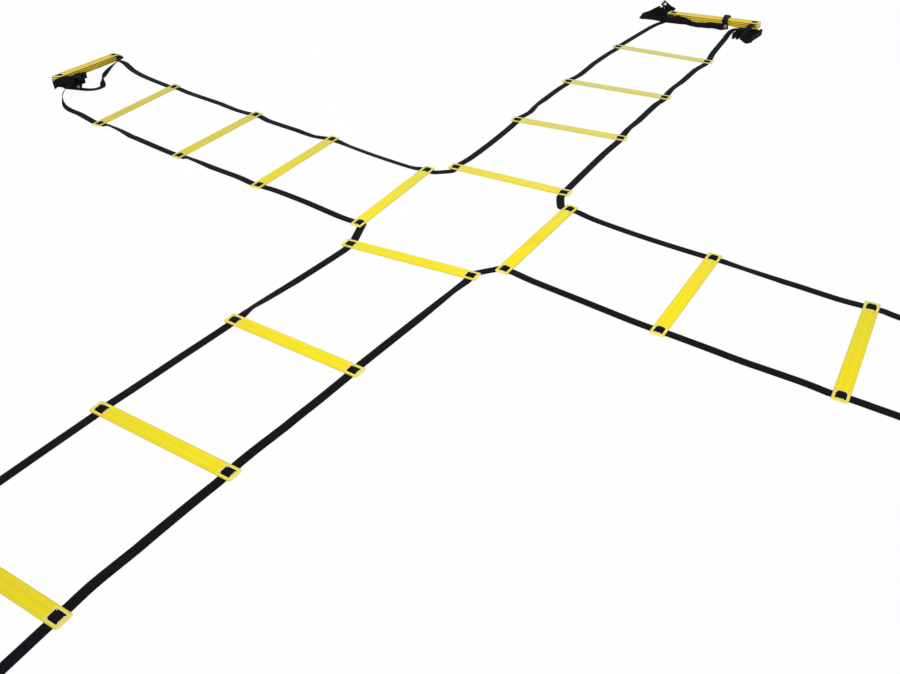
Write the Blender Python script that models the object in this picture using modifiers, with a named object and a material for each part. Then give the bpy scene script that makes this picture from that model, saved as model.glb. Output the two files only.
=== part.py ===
"""A cross-shaped agility ladder, laid out on the ground: flat plastic slats threaded on four woven straps.

Each strap runs along one side of an arm, round the open centre and along the next arm. The first four slats
of each arm lie spread out, and the last four are stacked at its far end on the gathered strap.
Units are metres, +Z is up, and the ground is z = 0.
"""
import math

import bmesh
import bpy
from mathutils import Matrix, Vector

# Slats
SLAT_LENGTH = 0.425
SLAT_WIDTH = 0.038
SLAT_THICKNESS = 0.003
SLAT_CORNER_RADIUS = 0.005
CORNER_STEPS = 2
SLOT_LENGTH = 0.0275
SLOT_WIDTH = 0.006
SLOT_BAR_WIDTH = 0.012
STRAP_SPACING = 0.380

# Woven straps
STRAP_WIDTH = 0.025
STRAP_THICKNESS = 0.0014
STRAP_TIP_LENGTH = 0.026
GAP = 0.0003
FOLD_GAP = 0.0005

# Press studs that join one ladder to the next
STUD_CAP_RADIUS = 0.0075
STUD_CAP_HEIGHT = 0.0016
STUD_RIM_HEIGHT = 0.0008
STUD_POST_RADIUS = 0.0024
STUD_BASE_RADIUS = 0.0055
STUD_BASE_THICKNESS = 0.0007
STUD_HOLE_RADIUS = 0.0030
STUD_SIDES = 10

# Middle of the floor plan, so that the part's origin is under the middle of its box
PLAN_SHIFT = Vector((-0.0300, 0.0012, 0.0))

# How the arms lie: for each slat its distance out from the centre, its shift to the left of the arm's
# line (seen looking outwards), both in metres, and its turn to the left in degrees
ARM_HEADING = {"a": 180, "b": 90, "c": -90, "d": 0}
SLAT_LAY = {
    "a": [(0.246, 0.009, 2.8), (0.664, -0.012, 1.8), (1.042, -0.030, 1.1), (1.500, -0.064, 3.7)],
    "b": [(0.261, -0.005, 4.1), (0.693, 0.007, 7.1), (1.099, 0.014, 5.9), (1.532, 0.007, 2.8)],
    "c": [(0.285, 0.005, 6.3), (0.746, -0.018, 0.3), (1.145, -0.035, 1.6), (1.560, -0.043, 2.0)],
    "d": [(0.256, 0.000, -0.2), (0.715, -0.038, 0.4), (1.140, -0.053, 3.2), (1.565, -0.060, 2.0)],
}

# How the straps lie between the slats. For each arm and side, three lists, one for each bay, of places
# where the strap is off the straight line: share of the way out, shift to the left and lean of its left
# edge in degrees. A place halfway out in the second and third bays is where the arm folds
RAIL_LAY = {
    ("a", 1): (
        [(0.2, 0.0035, 0), (0.5, -0.0040, 0), (0.8, -0.0061, 0)],
        [(0.25, -0.0035, 0), (0.5, -0.0036, 0), (0.72, -0.0038, 8), (0.86, -0.0023, 17)],
        [(0.25, 0.0020, 0), (0.5, -0.0019, 0), (0.72, -0.0045, 15), (0.86, -0.0050, 24)],
    ),
    ("a", -1): (
        [(0.15, 0.0140, 9), (0.5, 0.0138, 10), (0.8, 0.0078, 13)],
        [(0.2, 0.0160, 6), (0.5, 0.0107, 0), (0.8, 0.0080, 0)],
        [(0.2, 0.0090, 4), (0.5, 0.0032, 0), (0.8, 0.0018, 0)],
    ),
    ("b", 1): (
        [(0.2, -0.0056, 0), (0.5, -0.0079, 0), (0.8, -0.0057, 0)],
        [(0.2, -0.0060, -6), (0.33, -0.0007, -15), (0.5, 0.0018, 0), (0.8, 0.0016, 0)],
        [(0.2, -0.0040, 0), (0.5, 0.0029, 0), (0.8, 0.0022, 0)],
    ),
    ("b", -1): (
        [(0.3, 0.0020, 0), (0.7, 0.0020, 0)],
        [(0.2, 0.0058, -10), (0.5, 0.0049, 0), (0.8, 0.0043, 0)],
        [(0.2, 0.0080, -10), (0.5, 0.0072, 0), (0.75, 0.0080, 0)],
    ),
    ("c", 1): (
        [(0.2, 0.0042, 14), (0.5, 0.0009, 0)],
        [(0.3, 0.0016, 0), (0.5, 0.0001, 0), (0.8, -0.0024, 0)],
        [(0.25, -0.0010, 0), (0.5, -0.0025, 0), (0.8, -0.0050, 0)],
    ),
    ("c", -1): (
        [(0.2, 0.0047, 0), (0.5, 0.0022, 0), (0.75, -0.0010, 9), (0.87, -0.0015, 18)],
        [(0.3, 0.0005, 0), (0.5, -0.0001, 0), (0.8, -0.0010, 0)],
        [(0.3, 0.0008, 0), (0.5, 0.0008, 0), (0.8, 0.0005, 0)],
    ),
    ("d", 1): (
        [(0.2, -0.0074, 0), (0.5, -0.0107, 0), (0.8, -0.0065, 0)],
        [(0.2, -0.0037, -7), (0.5, -0.0050, 0), (0.8, -0.0065, 0)],
        [(0.2, -0.0060, 0), (0.5, -0.0040, 0), (0.8, -0.0020, 0)],
    ),
    ("d", -1): (
        [(0.2, -0.0022, 0), (0.5, -0.0027, 0), (0.8, -0.0037, 0)],
        [(0.3, -0.0003, 0), (0.5, -0.0017, 0), (0.8, 0.0006, 0)],
        [(0.2, 0.0015, 0), (0.5, 0.0010, 0), (0.8, 0.0, 0)],
    ),
}

# The stacks at the arms' ends: distance, shift, turn, the height of the middle of the stack's underside
# and the tilt that lifts its left end
STACK_SLATS = 4
STACK_LAY = {
    "a": (1.880, -0.148, 20.8, 0.0329, 8.5),
    "b": (1.957, -0.052, -6.5, 0.0182, -4.5),
    "c": (1.965, -0.070, -5.0, 0.0182, -4.5),
    "d": (1.935, -0.110, 16.0, 0.0329, 8.5),
}

# Folds: an arm folds up over itself between its second and third slats, then back between its third and
# fourth, so the first axis lies just above the slats and the second just under the strap
FOLD_UP_HEIGHT = 0.008
FOLD_BACK_HEIGHT = -0.001

# Heights of a slat that lies on its strap, with the strap's own underside at 0
STRAP_LOW = STRAP_THICKNESS / 2
SLAT_BOTTOM = STRAP_THICKNESS + GAP
SLAT_MIDDLE = SLAT_BOTTOM + SLAT_THICKNESS / 2
SLAT_TOP = SLAT_BOTTOM + SLAT_THICKNESS
STRAP_HIGH = SLAT_TOP + GAP + STRAP_THICKNESS / 2
STACK_PITCH = STRAP_HIGH + STRAP_THICKNESS / 2 + FOLD_GAP
ON_EDGE = STRAP_WIDTH / 2 + 0.0003
PASS_HALF = 0.028

# The weave through one end of a slat, as distance from the slat's middle and height: up through one
# slot, over the bar and down through the other
RISE = [(0.0116, STRAP_LOW), (0.0099, STRAP_LOW + 0.0009), (0.0077, STRAP_HIGH - 0.0009), (0.0060, STRAP_HIGH)]
WEAVE = [(-PASS_HALF, STRAP_LOW)]
WEAVE += [(-distance, height) for distance, height in RISE]
WEAVE += [(distance, height) for distance, height in reversed(RISE)]
WEAVE += [(PASS_HALF, STRAP_LOW)]

UP = Vector((0, 0, 1))


# Scene and materials


def clear_scene():
    for thing in list(bpy.data.objects):
        bpy.data.objects.remove(thing)


def new_collection(name):
    collection = bpy.data.collections.new(name)
    bpy.context.scene.collection.children.link(collection)
    return collection


def new_material(name, colour, roughness, metallic=0.0):
    material = bpy.data.materials.new(name)
    material.use_nodes = True
    shader = material.node_tree.nodes["Principled BSDF"]
    shader.inputs["Base Color"].default_value = (*colour, 1.0)
    shader.inputs["Roughness"].default_value = roughness
    shader.inputs["Metallic"].default_value = metallic
    return material


clear_scene()
LADDER = new_collection("agility_ladder")
CUTTERS = new_collection("cutters")
YELLOW_PLASTIC = new_material("yellow_plastic", (0.93, 0.76, 0.02), 0.45)
BLACK_WEBBING = new_material("black_webbing", (0.012, 0.011, 0.016), 0.85)
NICKEL = new_material("nickel", (0.62, 0.61, 0.58), 0.35, 1.0)


# Places


def flat_frame(heading, distance, shift, turn, height=0.0, tilt=0.0):
    """The matrix of a slat or stack: its X points out along the arm, its Y to the left along the slat."""
    arm = Matrix.Rotation(math.radians(heading), 4, "Z")
    place = Matrix.Translation(arm @ Vector((distance, shift, height)) + PLAN_SHIFT)
    turned = Matrix.Rotation(math.radians(heading + turn), 4, "Z")
    return place @ turned @ Matrix.Rotation(math.radians(tilt), 4, "X")


def slat_frame(arm, number):
    return flat_frame(ARM_HEADING[arm], *SLAT_LAY[arm][number])


def stack_frame(arm, layer=0, tilted=True):
    distance, shift, turn, height, tilt = STACK_LAY[arm]
    if not tilted:
        return flat_frame(ARM_HEADING[arm], distance, shift, turn)
    frame = flat_frame(ARM_HEADING[arm], distance, shift, turn, height, tilt)
    return frame @ Matrix.Translation((0, 0, layer * STACK_PITCH))


def fold_frame(arm, inner, height):
    """A fold line across an arm, halfway between two slats: X out along the arm, Y along the line."""
    near = slat_frame(arm, inner).translation
    far = slat_frame(arm, inner + 1).translation
    along = far - near
    turned = Matrix.Rotation(math.atan2(along.y, along.x), 4, "Z")
    return Matrix.Translation((near + far) / 2 + UP * height) @ turned


def new_joint_empty(name, frame):
    empty = bpy.data.objects.new(name, None)
    empty.matrix_world = frame
    empty.empty_display_size = 0.05
    LADDER.objects.link(empty)
    return empty


# Straps. A strap is a list of stations, each the middle of the strap and the direction across it


def station(frame, along, side, height, across=(0, 1, 0)):
    return frame @ Vector((along, side, height)), (frame.to_3x3() @ Vector(across)).normalized()


def woven_pass(frame, side, flipped=False, inwards=False):
    """The strap through one end of a slat. A flipped slat has its underside up."""
    stations = []
    for along, height in WEAVE:
        if flipped:
            height = 2 * SLAT_MIDDLE - height
        stations.append(station(frame, along, side * STRAP_SPACING / 2, height, (0, side, 0)))
    if inwards:
        stations.reverse()
    return stations


def fold_stretch(arm, inner, side, part):
    """The strap on one side of a fold line, square to it. The inner part is -1 and the outer is 1."""
    frame = fold_frame(arm, inner, 0)
    shift = next(aside for share, aside, _ in RAIL_LAY[arm, side][inner] if share == 0.5)
    stations = []
    for clearance in (GAP / 2, 0.02):
        place = side * STRAP_SPACING / 2 + shift
        stations.append(station(frame, part * clearance, place, STRAP_LOW, (0, side, 0)))
    return stations if part > 0 else stations[::-1]


def along_bay(arm, inner, side, shares=(0, 1)):
    """The strap's places between two slats, as far as these shares of the way out."""
    start = slat_frame(arm, inner) @ Vector((0, side * STRAP_SPACING / 2, 0))
    end = slat_frame(arm, inner + 1) @ Vector((0, side * STRAP_SPACING / 2, 0))
    left = UP.cross(end - start).normalized()
    stations = []
    for share, shift, lean in RAIL_LAY[arm, side][inner]:
        if shares[0] < share < shares[1]:
            across = left * math.cos(math.radians(lean)) + UP * math.sin(math.radians(lean))
            place = start.lerp(end, share) + left * shift + UP * STRAP_LOW
            stations.append(off_the_ground(place, across * side))
    return stations


def smooth(stations, steps):
    """A Catmull-Rom curve through the stations, with this many pieces between each two."""
    first, last = stations[0], stations[-1]
    before = (2 * first[0] - stations[1][0], first[1])
    after = (2 * last[0] - stations[-2][0], last[1])
    held = [before, *stations, after]
    result = [first]
    for i in range(1, len(held) - 2):
        p0, p1, p2, p3 = (held[i + k][0] for k in (-1, 0, 1, 2))
        a = 2 * p1
        b = p2 - p0
        c = 2 * p0 - 5 * p1 + 4 * p2 - p3
        d = 3 * p1 - p0 - 3 * p2 + p3
        for step in range(1, steps + 1):
            t = step / steps
            heading = (b + 2 * c * t + 3 * d * t**2).normalized()
            across = held[i][1].lerp(held[i + 1][1], t)
            across -= heading * across.dot(heading)
            result.append((0.5 * (a + b * t + c * t**2 + d * t**3), across.normalized()))
    return result


def off_the_ground(point, across):
    """The station raised, where need be, until the strap's lower edge is just clear of the ground."""
    lean = min(1.0, abs(across.z))
    least = lean * STRAP_WIDTH / 2 + math.sqrt(1 - lean**2) * STRAP_THICKNESS / 2
    return Vector((point.x, point.y, max(point.z, least + 0.0001 * lean))), across


def run_between(start, end, pieces, via=()):
    """The strap from the last station of one stretch to the first of the next, leaving each one straight on."""
    line = smooth([start[-2], start[-1], *via, end[0], end[1]], pieces)
    return line[pieces + 1 : -pieces - 1]


def joined(stretches, vias):
    """Stretches in line, each led to the next by way of its list of places."""
    stations = list(stretches[0])
    for before, after, via in zip(stretches, stretches[1:], vias):
        stations += run_between(before, after, 2, via) + list(after)
    return stations


def least_gap(stations):
    """The least gap between stretches of one strap that lie over or beside each other."""
    lengths = [0.0]
    for before, after in zip(stations, stations[1:]):
        lengths.append(lengths[-1] + (after[0] - before[0]).length)
    samples = []
    for (point, across), (after, next_across), length in zip(stations, stations[1:], lengths):
        pieces = max(1, int((after - point).length / 0.004))
        for step in range(pieces):
            t = step / pieces
            middle = point.lerp(after, t)
            aside = across.lerp(next_across, t).normalized() * STRAP_WIDTH
            at = length + (after - point).length * t
            samples += [(middle + aside * k / 4, at) for k in (-2, -1, 0, 1, 2)]
    least, place = 1.0, None
    for i, (here, at) in enumerate(samples):
        for there, further in samples[i + 1 :]:
            if further - at > 0.022 and (here - there).length < least:
                least, place = (here - there).length, (at, further)
    return least - STRAP_THICKNESS, place


def new_strap(name, stations, owner=None):
    """A strip along the stations, given the strap's thickness."""
    into = owner.matrix_world.inverted() if owner else Matrix.Identity(4)
    cage = bmesh.new()
    rails = []
    for point, across in stations:
        half = across * STRAP_WIDTH / 2
        rails.append((cage.verts.new(into @ (point - half)), cage.verts.new(into @ (point + half))))
    for (right, left), (next_right, next_left) in zip(rails, rails[1:]):
        cage.faces.new((right, next_right, next_left, left))
    mesh = bpy.data.meshes.new(name)
    cage.to_mesh(mesh)
    cage.free()
    strap = bpy.data.objects.new(name, mesh)
    strap.parent = owner
    mesh.materials.append(BLACK_WEBBING)
    wall = strap.modifiers.new("thickness", "SOLIDIFY")
    wall.thickness = STRAP_THICKNESS
    wall.offset = 0
    wall.use_even_offset = True
    LADDER.objects.link(strap)
    return strap


# What happens to the strap at the stack. Places are distance out, w and height, with w the distance from
# the stack's middle towards this strap's side, in the stack's own frame or on the floor under it


def local(frame, side):
    """A function that makes a station from a place and a direction across, both in this frame."""

    def make(along, w, height, across=(0, 1, 0)):
        out, aside, upwards = across
        return station(frame, along, side * w, height, (out, side * aside, upwards))

    return make


def standing_folds(make, front, back, start, end, folds, height, on_edge=(0, 0, -1), rise=0.0):
    """The strap stood on its edge in folds to and fro along the arm, the first one towards the back.
    The last fold stands higher than the first by the rise."""
    pitch = (end - start) / folds
    radius = abs(pitch) / 2
    stations = []
    for fold in range(folds):
        turn, outwards = (back, 1) if fold % 2 == 0 else (front, -1)
        middle = start + (fold + 0.5) * pitch
        for angle in (-90, -30, 30, 90):
            along = turn + outwards * radius * math.cos(math.radians(angle))
            w = middle + pitch / 2 * math.sin(math.radians(angle))
            lift = rise * (w - start) / (end - start)
            stations.append(make(along, w, height + lift, on_edge))
    return stations


def doubled_back(spine, side, near, far):
    """Out along the spine and back in front of it, this far away where it starts and where it ends."""
    points = [point for point, _ in spine]
    headings = [after - before for before, after in zip([points[0], *points], [*points[1:], points[-1]])]
    returning = []
    for i, (point, across) in enumerate(spine):
        aside = across.cross(headings[i]).normalized() * side
        apart = near + (far - near) * min(1, i / 3)
        returning.append((point + aside * apart, across))
    tip, across = spine[-1]
    aside = returning[-1][0] - tip
    turn = []
    for angle in (60, 120):
        outwards = headings[-1].normalized() * far / 2 * math.sin(math.radians(angle))
        turn.append((tip + aside * (1 - math.cos(math.radians(angle))) / 2 + outwards, across))
    return spine + turn + returning[::-1]


def hanging_loop(frame, side, reach):
    """The doubled loop from the second slat's near side to the third's, along the front of the stack."""
    make = local(frame, side)
    level = STACK_PITCH + 2 * SLAT_MIDDLE - STRAP_LOW
    spine = []
    for angle in (0, 30, 60, 90):
        sine, cosine = math.sin(math.radians(angle)), math.cos(math.radians(angle))
        spine.append(make(-0.036 - 0.017 * sine, 0.173 + 0.017 * cosine, level, (-sine, cosine, 0)))
    spine.append(make(-0.052, 0.155, level - 0.002, (-0.85, 0, -0.5)))
    spine.append(make(-0.047, 0.138, level - 0.008, (-0.4, 0, -0.9)))
    spine.append(make(-0.042, 0.120, level - 0.015, (0, 0, -1)))
    spine.append(make(-0.040, reach, level - 0.018, (0, 0, -1)))
    return doubled_back(spine, side, STRAP_THICKNESS + FOLD_GAP, 0.0045)


def short_loop(frame, side):
    """The short loop from the second slat's near side to the third's."""
    make = local(frame, side)
    low = STACK_PITCH + 2 * SLAT_MIDDLE - STRAP_LOW
    high = 2 * STACK_PITCH + STRAP_LOW
    middle, radius = (low + high) / 2, 0.0032
    places = [(-0.040, low - 0.0016), (-0.052, middle - radius), (-0.0565, middle)]
    places += [(-0.052, middle + radius), (-0.040, high + 0.0016)]
    return [make(along, 0.190, height) for along, height in places]


def down_onto_edge(make, along, w, height, towards):
    """A turn from straight down to level, with the strap stood on its edge."""
    stations = []
    for angle in (0, 30, 60, 90):
        sine, cosine = math.sin(math.radians(angle)), math.cos(math.radians(angle))
        place = w + towards * 0.018 * (1 - cosine)
        stations.append(make(along, place, height + 0.018 * (1 - sine), (0, cosine, towards * sine)))
    return stations


def pile_end(arm, side):
    """Round the stack's lifted end, down behind it and to and fro in folds under it."""
    stack = local(stack_frame(arm), side)
    floor = local(stack_frame(arm, tilted=False), side)
    height = ON_EDGE + 0.0030
    top = 3 * STACK_PITCH + 2 * SLAT_MIDDLE - STRAP_LOW
    line = [
        stack(-0.046, 0.190, top - 0.0002),
        stack(-0.060, 0.192, top - 0.0030, (0, 1, -0.35)),
        stack(-0.073, 0.198, 0.0180, (0, 0.5, -1)),
        stack(-0.080, 0.208, 0.0135, (0, 0, -1)),
        stack(-0.075, 0.2185, 0.0125, (0, 0, -1)),
        stack(-0.060, 0.2210, 0.0125, (0, 0, -1)),
        stack(-0.030, 0.2175, 0.0125, (0, 0, -1)),
        stack(0.000, 0.2165, 0.0125, (0, 0, -1)),
        stack(0.026, 0.2165, 0.0125, (0, 0, -1)),
        stack(0.042, 0.2140, 0.0125, (0, 0, -1)),
        stack(0.054, 0.2060, 0.0115, (0, 0, -1)),
        floor(0.058, 0.190, 0.0710, (0, 0, -1)),
        floor(0.059, 0.160, 0.0590, (0, 0, -1)),
        floor(0.059, 0.125, 0.0440, (0, 0, -1)),
        floor(0.058, 0.090, 0.0290, (0, 0, -1)),
        floor(0.053, 0.062, 0.0195, (0, 0, -1)),
        floor(0.040, 0.048, height, (0, 0, -1)),
        floor(0.020, 0.046, height, (0, 0, -1)),
        floor(-0.002, 0.046, height, (0, 0, -1)),
        floor(-0.007, 0.049, height, (0, 0, -1)),
        floor(-0.007, 0.055, height, (0, 0, -1)),
        floor(-0.002, 0.058, height, (0, 0, -1)),
    ]
    folds = standing_folds(floor, -0.002, 0.044, 0.058, 0.178, 9, height, rise=0.0230)
    tip = [
        floor(-0.022, 0.177, height + 0.0225, (0, 0, -1)),
        floor(-0.038, 0.171, height + 0.0190, (0, 0, -1)),
    ]
    return line, folds, tip


def floor_loop_end(arm, side):
    """Off the low end on its edge, round in an open loop on the floor and under the other strap's folds."""
    floor = local(stack_frame(arm, tilted=False), side)
    line = [
        floor(-0.046, 0.187, 0.0305, (-0.15, 1, 0)),
        floor(-0.062, 0.170, 0.0270, (-0.7, 0.7, 0)),
        floor(-0.064, 0.125, 0.0215, (-0.8, 0, 0.6)),
        floor(-0.058, 0.075, 0.0175, (-0.25, 0, 1)),
        floor(-0.056, 0.030, 0.0160, (-0.1, 0, 1)),
        floor(-0.062, -0.012, 0.0145, (-0.3, 0, 1)),
        floor(-0.079, -0.045, 0.0095, (-1, 0.3, 0.7)),
    ]
    loop = [
        floor(-0.094, -0.070, 0.0012, (-1, 0.1, 0)),
        floor(-0.082, -0.098, 0.0012, (-0.8, -0.7, 0)),
        floor(-0.054, -0.109, 0.0012, (-0.2, -1, 0)),
        floor(-0.020, -0.108, 0.0012, (0, -1, 0)),
    ]
    tip = [
        floor(0.018, -0.106, 0.0012, (0, -1, 0)),
        floor(0.044, -0.104, 0.0016, (-0.3, -1, 0)),
        floor(0.063, -0.084, 0.0024, (-0.9, -0.5, 0)),
        floor(0.067, -0.054, 0.0026, (-1, 0, 0)),
        floor(0.066, -0.026, 0.0026, (-1, 0, 0)),
    ]
    return line, loop, tip


def wrapped_end(arm, side):
    """Down in front of the lifted end, in folds in front and under it, then up behind and over the stack."""
    stack = local(stack_frame(arm), side)
    floor = local(stack_frame(arm, tilted=False), side)
    height = ON_EDGE
    top = 3 * STACK_PITCH + 2 * SLAT_MIDDLE - STRAP_LOW
    line = [
        stack(-0.046, 0.190, top - 0.0002),
        stack(-0.072, 0.192, top - 0.0045),
        stack(-0.094, 0.191, top - 0.015),
        floor(-0.107, 0.190, 0.0390),
        *down_onto_edge(floor, -0.110, 0.190, height, 1),
        floor(-0.109, 0.214, height, (0, 0, 1)),
        floor(-0.102, 0.222, height, (0, 0, 1)),
        floor(-0.092, 0.224, height, (0, 0, 1)),
    ]
    folds = standing_folds(floor, -0.084, 0.006, 0.224, 0.134, 8, height, (0, 0, 1))
    over = top + STRAP_THICKNESS / 2 + FOLD_GAP
    rise = []
    for angle in (0, 30, 60, 90):
        sine, cosine = math.sin(math.radians(angle)), math.cos(math.radians(angle))
        rise.append(floor(0.056, 0.066 - 0.018 * sine, height + 0.018 * (1 - cosine), (0, -sine, cosine)))
    tip = [
        floor(0.030, 0.134, height, (0, 0, 1)),
        floor(0.049, 0.126, height, (0, 0, 1)),
        floor(0.056, 0.105, height, (0, 0, 1)),
        *rise,
        stack(0.051, 0.046, top - 0.006, (0, -1, 0)),
        stack(0.038, 0.048, over + 0.0015, (0, -1, 0)),
        stack(0.020, 0.053, over + 0.0022, (-0.2, -1, 0)),
        stack(-0.002, 0.060, over + 0.0012, (-0.2, -1, 0)),
        stack(-0.022, 0.066, over + 0.0005, (-0.2, -1, 0)),
        stack(-0.030, 0.069, top - 0.0045, (0, -1, 0)),
        stack(-0.0315, 0.071, top - 0.0120, (0, -1, -0.1)),
    ]
    return line, folds, tip


def bunch_end(arm, side):
    """To and fro in front of the low end, out in a loop, in folds beside the stack, the tip on top of them."""
    floor = local(stack_frame(arm, tilted=False), side)
    height = ON_EDGE
    turn = []
    for angle in (0, 30, 60, 90):
        sine, cosine = math.sin(math.radians(angle)), math.cos(math.radians(angle))
        turn.append(floor(-0.036 - 0.017 * sine, 0.173 + 0.017 * cosine, 0.0300, (-sine, cosine, 0)))
    line = [
        *turn,
        floor(-0.052, 0.155, 0.0290, (-0.85, 0, -0.5)),
        floor(-0.047, 0.138, 0.0230, (-0.4, 0, -0.9)),
        floor(-0.043, 0.120, 0.0165, (0, 0, -1)),
        floor(-0.042, 0.096, height, (0, 0, -1)),
        floor(-0.046, 0.082, height, (0, 0, -1)),
        floor(-0.053, 0.078, height, (0, 0, -1)),
        floor(-0.060, 0.084, height, (0, 0, -1)),
        floor(-0.063, 0.105, height, (0, 0, -1)),
        floor(-0.065, 0.140, height + 0.001, (0, 0, -1)),
        floor(-0.069, 0.175, height + 0.004, (0, 0, -1)),
        floor(-0.076, 0.215, height + 0.004, (0, 0, -1)),
        floor(-0.096, 0.248, height + 0.001, (0, 0, -1)),
        floor(-0.125, 0.261, height, (0, 0, -1)),
        floor(-0.152, 0.264, height, (0, 0, -1)),
        floor(-0.158, 0.268, height, (0, 0, -1)),
        floor(-0.152, 0.272, height, (0, 0, -1)),
        floor(-0.110, 0.276, height, (0, 0, -1)),
        floor(-0.070, 0.282, height, (0, 0, -1)),
    ]
    folds = standing_folds(floor, -0.040, 0.042, 0.284, 0.220, 8, height)
    tip = [
        floor(0.048, 0.220, height, (0, 0, -1)),
        floor(0.060, 0.222, height + 0.003, (0, -0.4, -1)),
        floor(0.069, 0.229, height + 0.013, (0, -0.9, -0.7)),
        floor(0.066, 0.239, height + 0.026, (0, -1, -0.2)),
        floor(0.050, 0.247, height + 0.036, (0, -1, 0)),
    ]
    return line, folds, tip


HOMES = {"a": (pile_end, floor_loop_end), "b": (bunch_end, wrapped_end)}
HOMES["c"] = HOMES["b"]
HOMES["d"] = HOMES["a"]
HANGING_LOOP_REACH = {pile_end: 0.105}


def u_turn(frame, side, along, low, high):
    """A loop past the far edge of the stack, from one slat up to the next."""
    make = local(frame, side)
    radius = (high - low) / 2
    stations = []
    for angle in (-90, -30, 30, 90):
        sine, cosine = math.sin(math.radians(angle)), math.cos(math.radians(angle))
        place = along + radius * cosine
        stations.append(make(place, 0.190, low + radius * (1 + sine)))
    return stations


def through_stack(arm, side):
    """The strap to and fro through the stacked slats, which lie face up and face down in turn."""
    base = stack_frame(arm)
    level = 2 * SLAT_MIDDLE - STRAP_LOW
    home = HOMES[arm][0 if side > 0 else 1]
    passes = []
    for layer in range(STACK_SLATS):
        flipped = layer % 2 == 1
        passes.append(woven_pass(stack_frame(arm, layer), side, flipped=flipped, inwards=flipped))
    stations = list(passes[0])
    stations += u_turn(base, side, 0.042, STRAP_LOW, STACK_PITCH + level)
    stations += passes[1]
    if home in HANGING_LOOP_REACH:
        stations += hanging_loop(base, side, HANGING_LOOP_REACH[home])
    else:
        stations += short_loop(base, side)
    stations += passes[2]
    stations += u_turn(base, side, 0.036, 2 * STACK_PITCH + STRAP_LOW, 3 * STACK_PITCH + level)
    return stations + passes[3]


def way_up(arm, side):
    """Places that the strap passes on its way from the fourth slat to the stack."""
    floor = local(stack_frame(arm, tilted=False), side)
    home = HOMES[arm][0 if side > 0 else 1]
    stack = local(stack_frame(arm), side)
    if home is pile_end:
        return [
            floor(-0.150, 0.328, 0.0012, (0.5, 0.9, 0)),
            floor(-0.100, 0.299, 0.0075, (0.3, 0.5, 0.5)),
            floor(-0.064, 0.271, ON_EDGE + 0.0010, (0.1, 0.1, 1)),
            floor(-0.037, 0.244, 0.0200, (0, 0, 1)),
            floor(-0.033, 0.224, 0.0380, (0.4, 0.2, 1)),
            stack(-0.047, 0.206, -0.0020, (0.9, 0.4, 0.2)),
            stack(-0.042, 0.196, STRAP_LOW, (0.7, 0.7, 0)),
        ]
    if home is wrapped_end:
        return [
            floor(-0.243, 0.146, 0.0012),
            floor(-0.135, 0.104, 0.0020),
            floor(-0.092, 0.097, 0.0180, (-0.1, 1, 0)),
            floor(-0.062, 0.112, 0.0310, (-0.5, 0.9, 0)),
            floor(-0.045, 0.160, 0.0335, (-0.5, 0.9, 0)),
        ]
    if home is bunch_end:
        return [floor(-0.169, 0.213, 0.0012), floor(-0.085, 0.206, 0.0012)]
    return [floor(-0.216, 0.050, 0.0012), floor(-0.124, 0.114, 0.0012), floor(-0.062, 0.172, 0.0020)]


def strap_to_stack(arm, side):
    """From the second fold line through the fourth slat, up to the stack, through it and to the strap's tip."""
    outer = woven_pass(slat_frame(arm, 3), side)
    stack = through_stack(arm, side)
    stations = joined([fold_stretch(arm, 2, side, 1), outer], [along_bay(arm, 2, side, (0.5, 1))])
    stations += run_between(outer, stack, 2, way_up(arm, side)) + stack
    line, folds, tip = HOMES[arm][0 if side > 0 else 1](arm, side)
    stations += run_between(stack, folds, 2, line) + folds
    stations += smooth([folds[-2], folds[-1], *tip], 2)[3:]
    stations = [off_the_ground(*each) for each in stations]
    (before, _), (last, across) = stations[-2:]
    return [*stations, (last + (last - before).normalized() * STRAP_TIP_LENGTH, across)]


# Press studs


def new_stud_mesh():
    """Half the outline of a stud, from the middle of its domed cap down to its base, turned about Z."""
    under_cap = STRAP_THICKNESS / 2 + GAP
    outline = [
        (0.0, under_cap + STUD_CAP_HEIGHT),
        (STUD_CAP_RADIUS, under_cap + STUD_RIM_HEIGHT),
        (STUD_CAP_RADIUS, under_cap),
        (STUD_POST_RADIUS, under_cap),
        (STUD_POST_RADIUS, -under_cap),
        (STUD_BASE_RADIUS, -under_cap),
        (STUD_BASE_RADIUS, -under_cap - STUD_BASE_THICKNESS),
        (0.0, -under_cap - STUD_BASE_THICKNESS),
    ]
    profile = bmesh.new()
    corners = [profile.verts.new((radius, 0, height)) for radius, height in outline]
    for upper, lower in zip(corners, corners[1:]):
        profile.edges.new((upper, lower))
    mesh = bpy.data.meshes.new("press_stud")
    profile.to_mesh(mesh)
    profile.free()
    mesh.materials.append(NICKEL)
    return mesh


def new_stud(name, mesh, stations, owner):
    """A stud near the strap's tip, through a hole in the strap."""
    (before, _), (tip, across) = stations[-2:]
    back = (before - tip).normalized()
    facing = across.cross(back)
    if facing.z < 0:
        facing.negate()
    place = Matrix.Translation(tip + back * STRAP_TIP_LENGTH / 2) @ facing.to_track_quat("Z", "Y").to_matrix().to_4x4()
    stud = bpy.data.objects.new(name, mesh)
    stud.parent = owner
    stud.matrix_local = owner.matrix_world.inverted() @ place
    turned = stud.modifiers.new("turned", "SCREW")
    turned.steps = STUD_SIDES
    turned.render_steps = STUD_SIDES
    turned.use_merge_vertices = True
    turned.merge_threshold = 0.0001
    LADDER.objects.link(stud)
    return place


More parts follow.
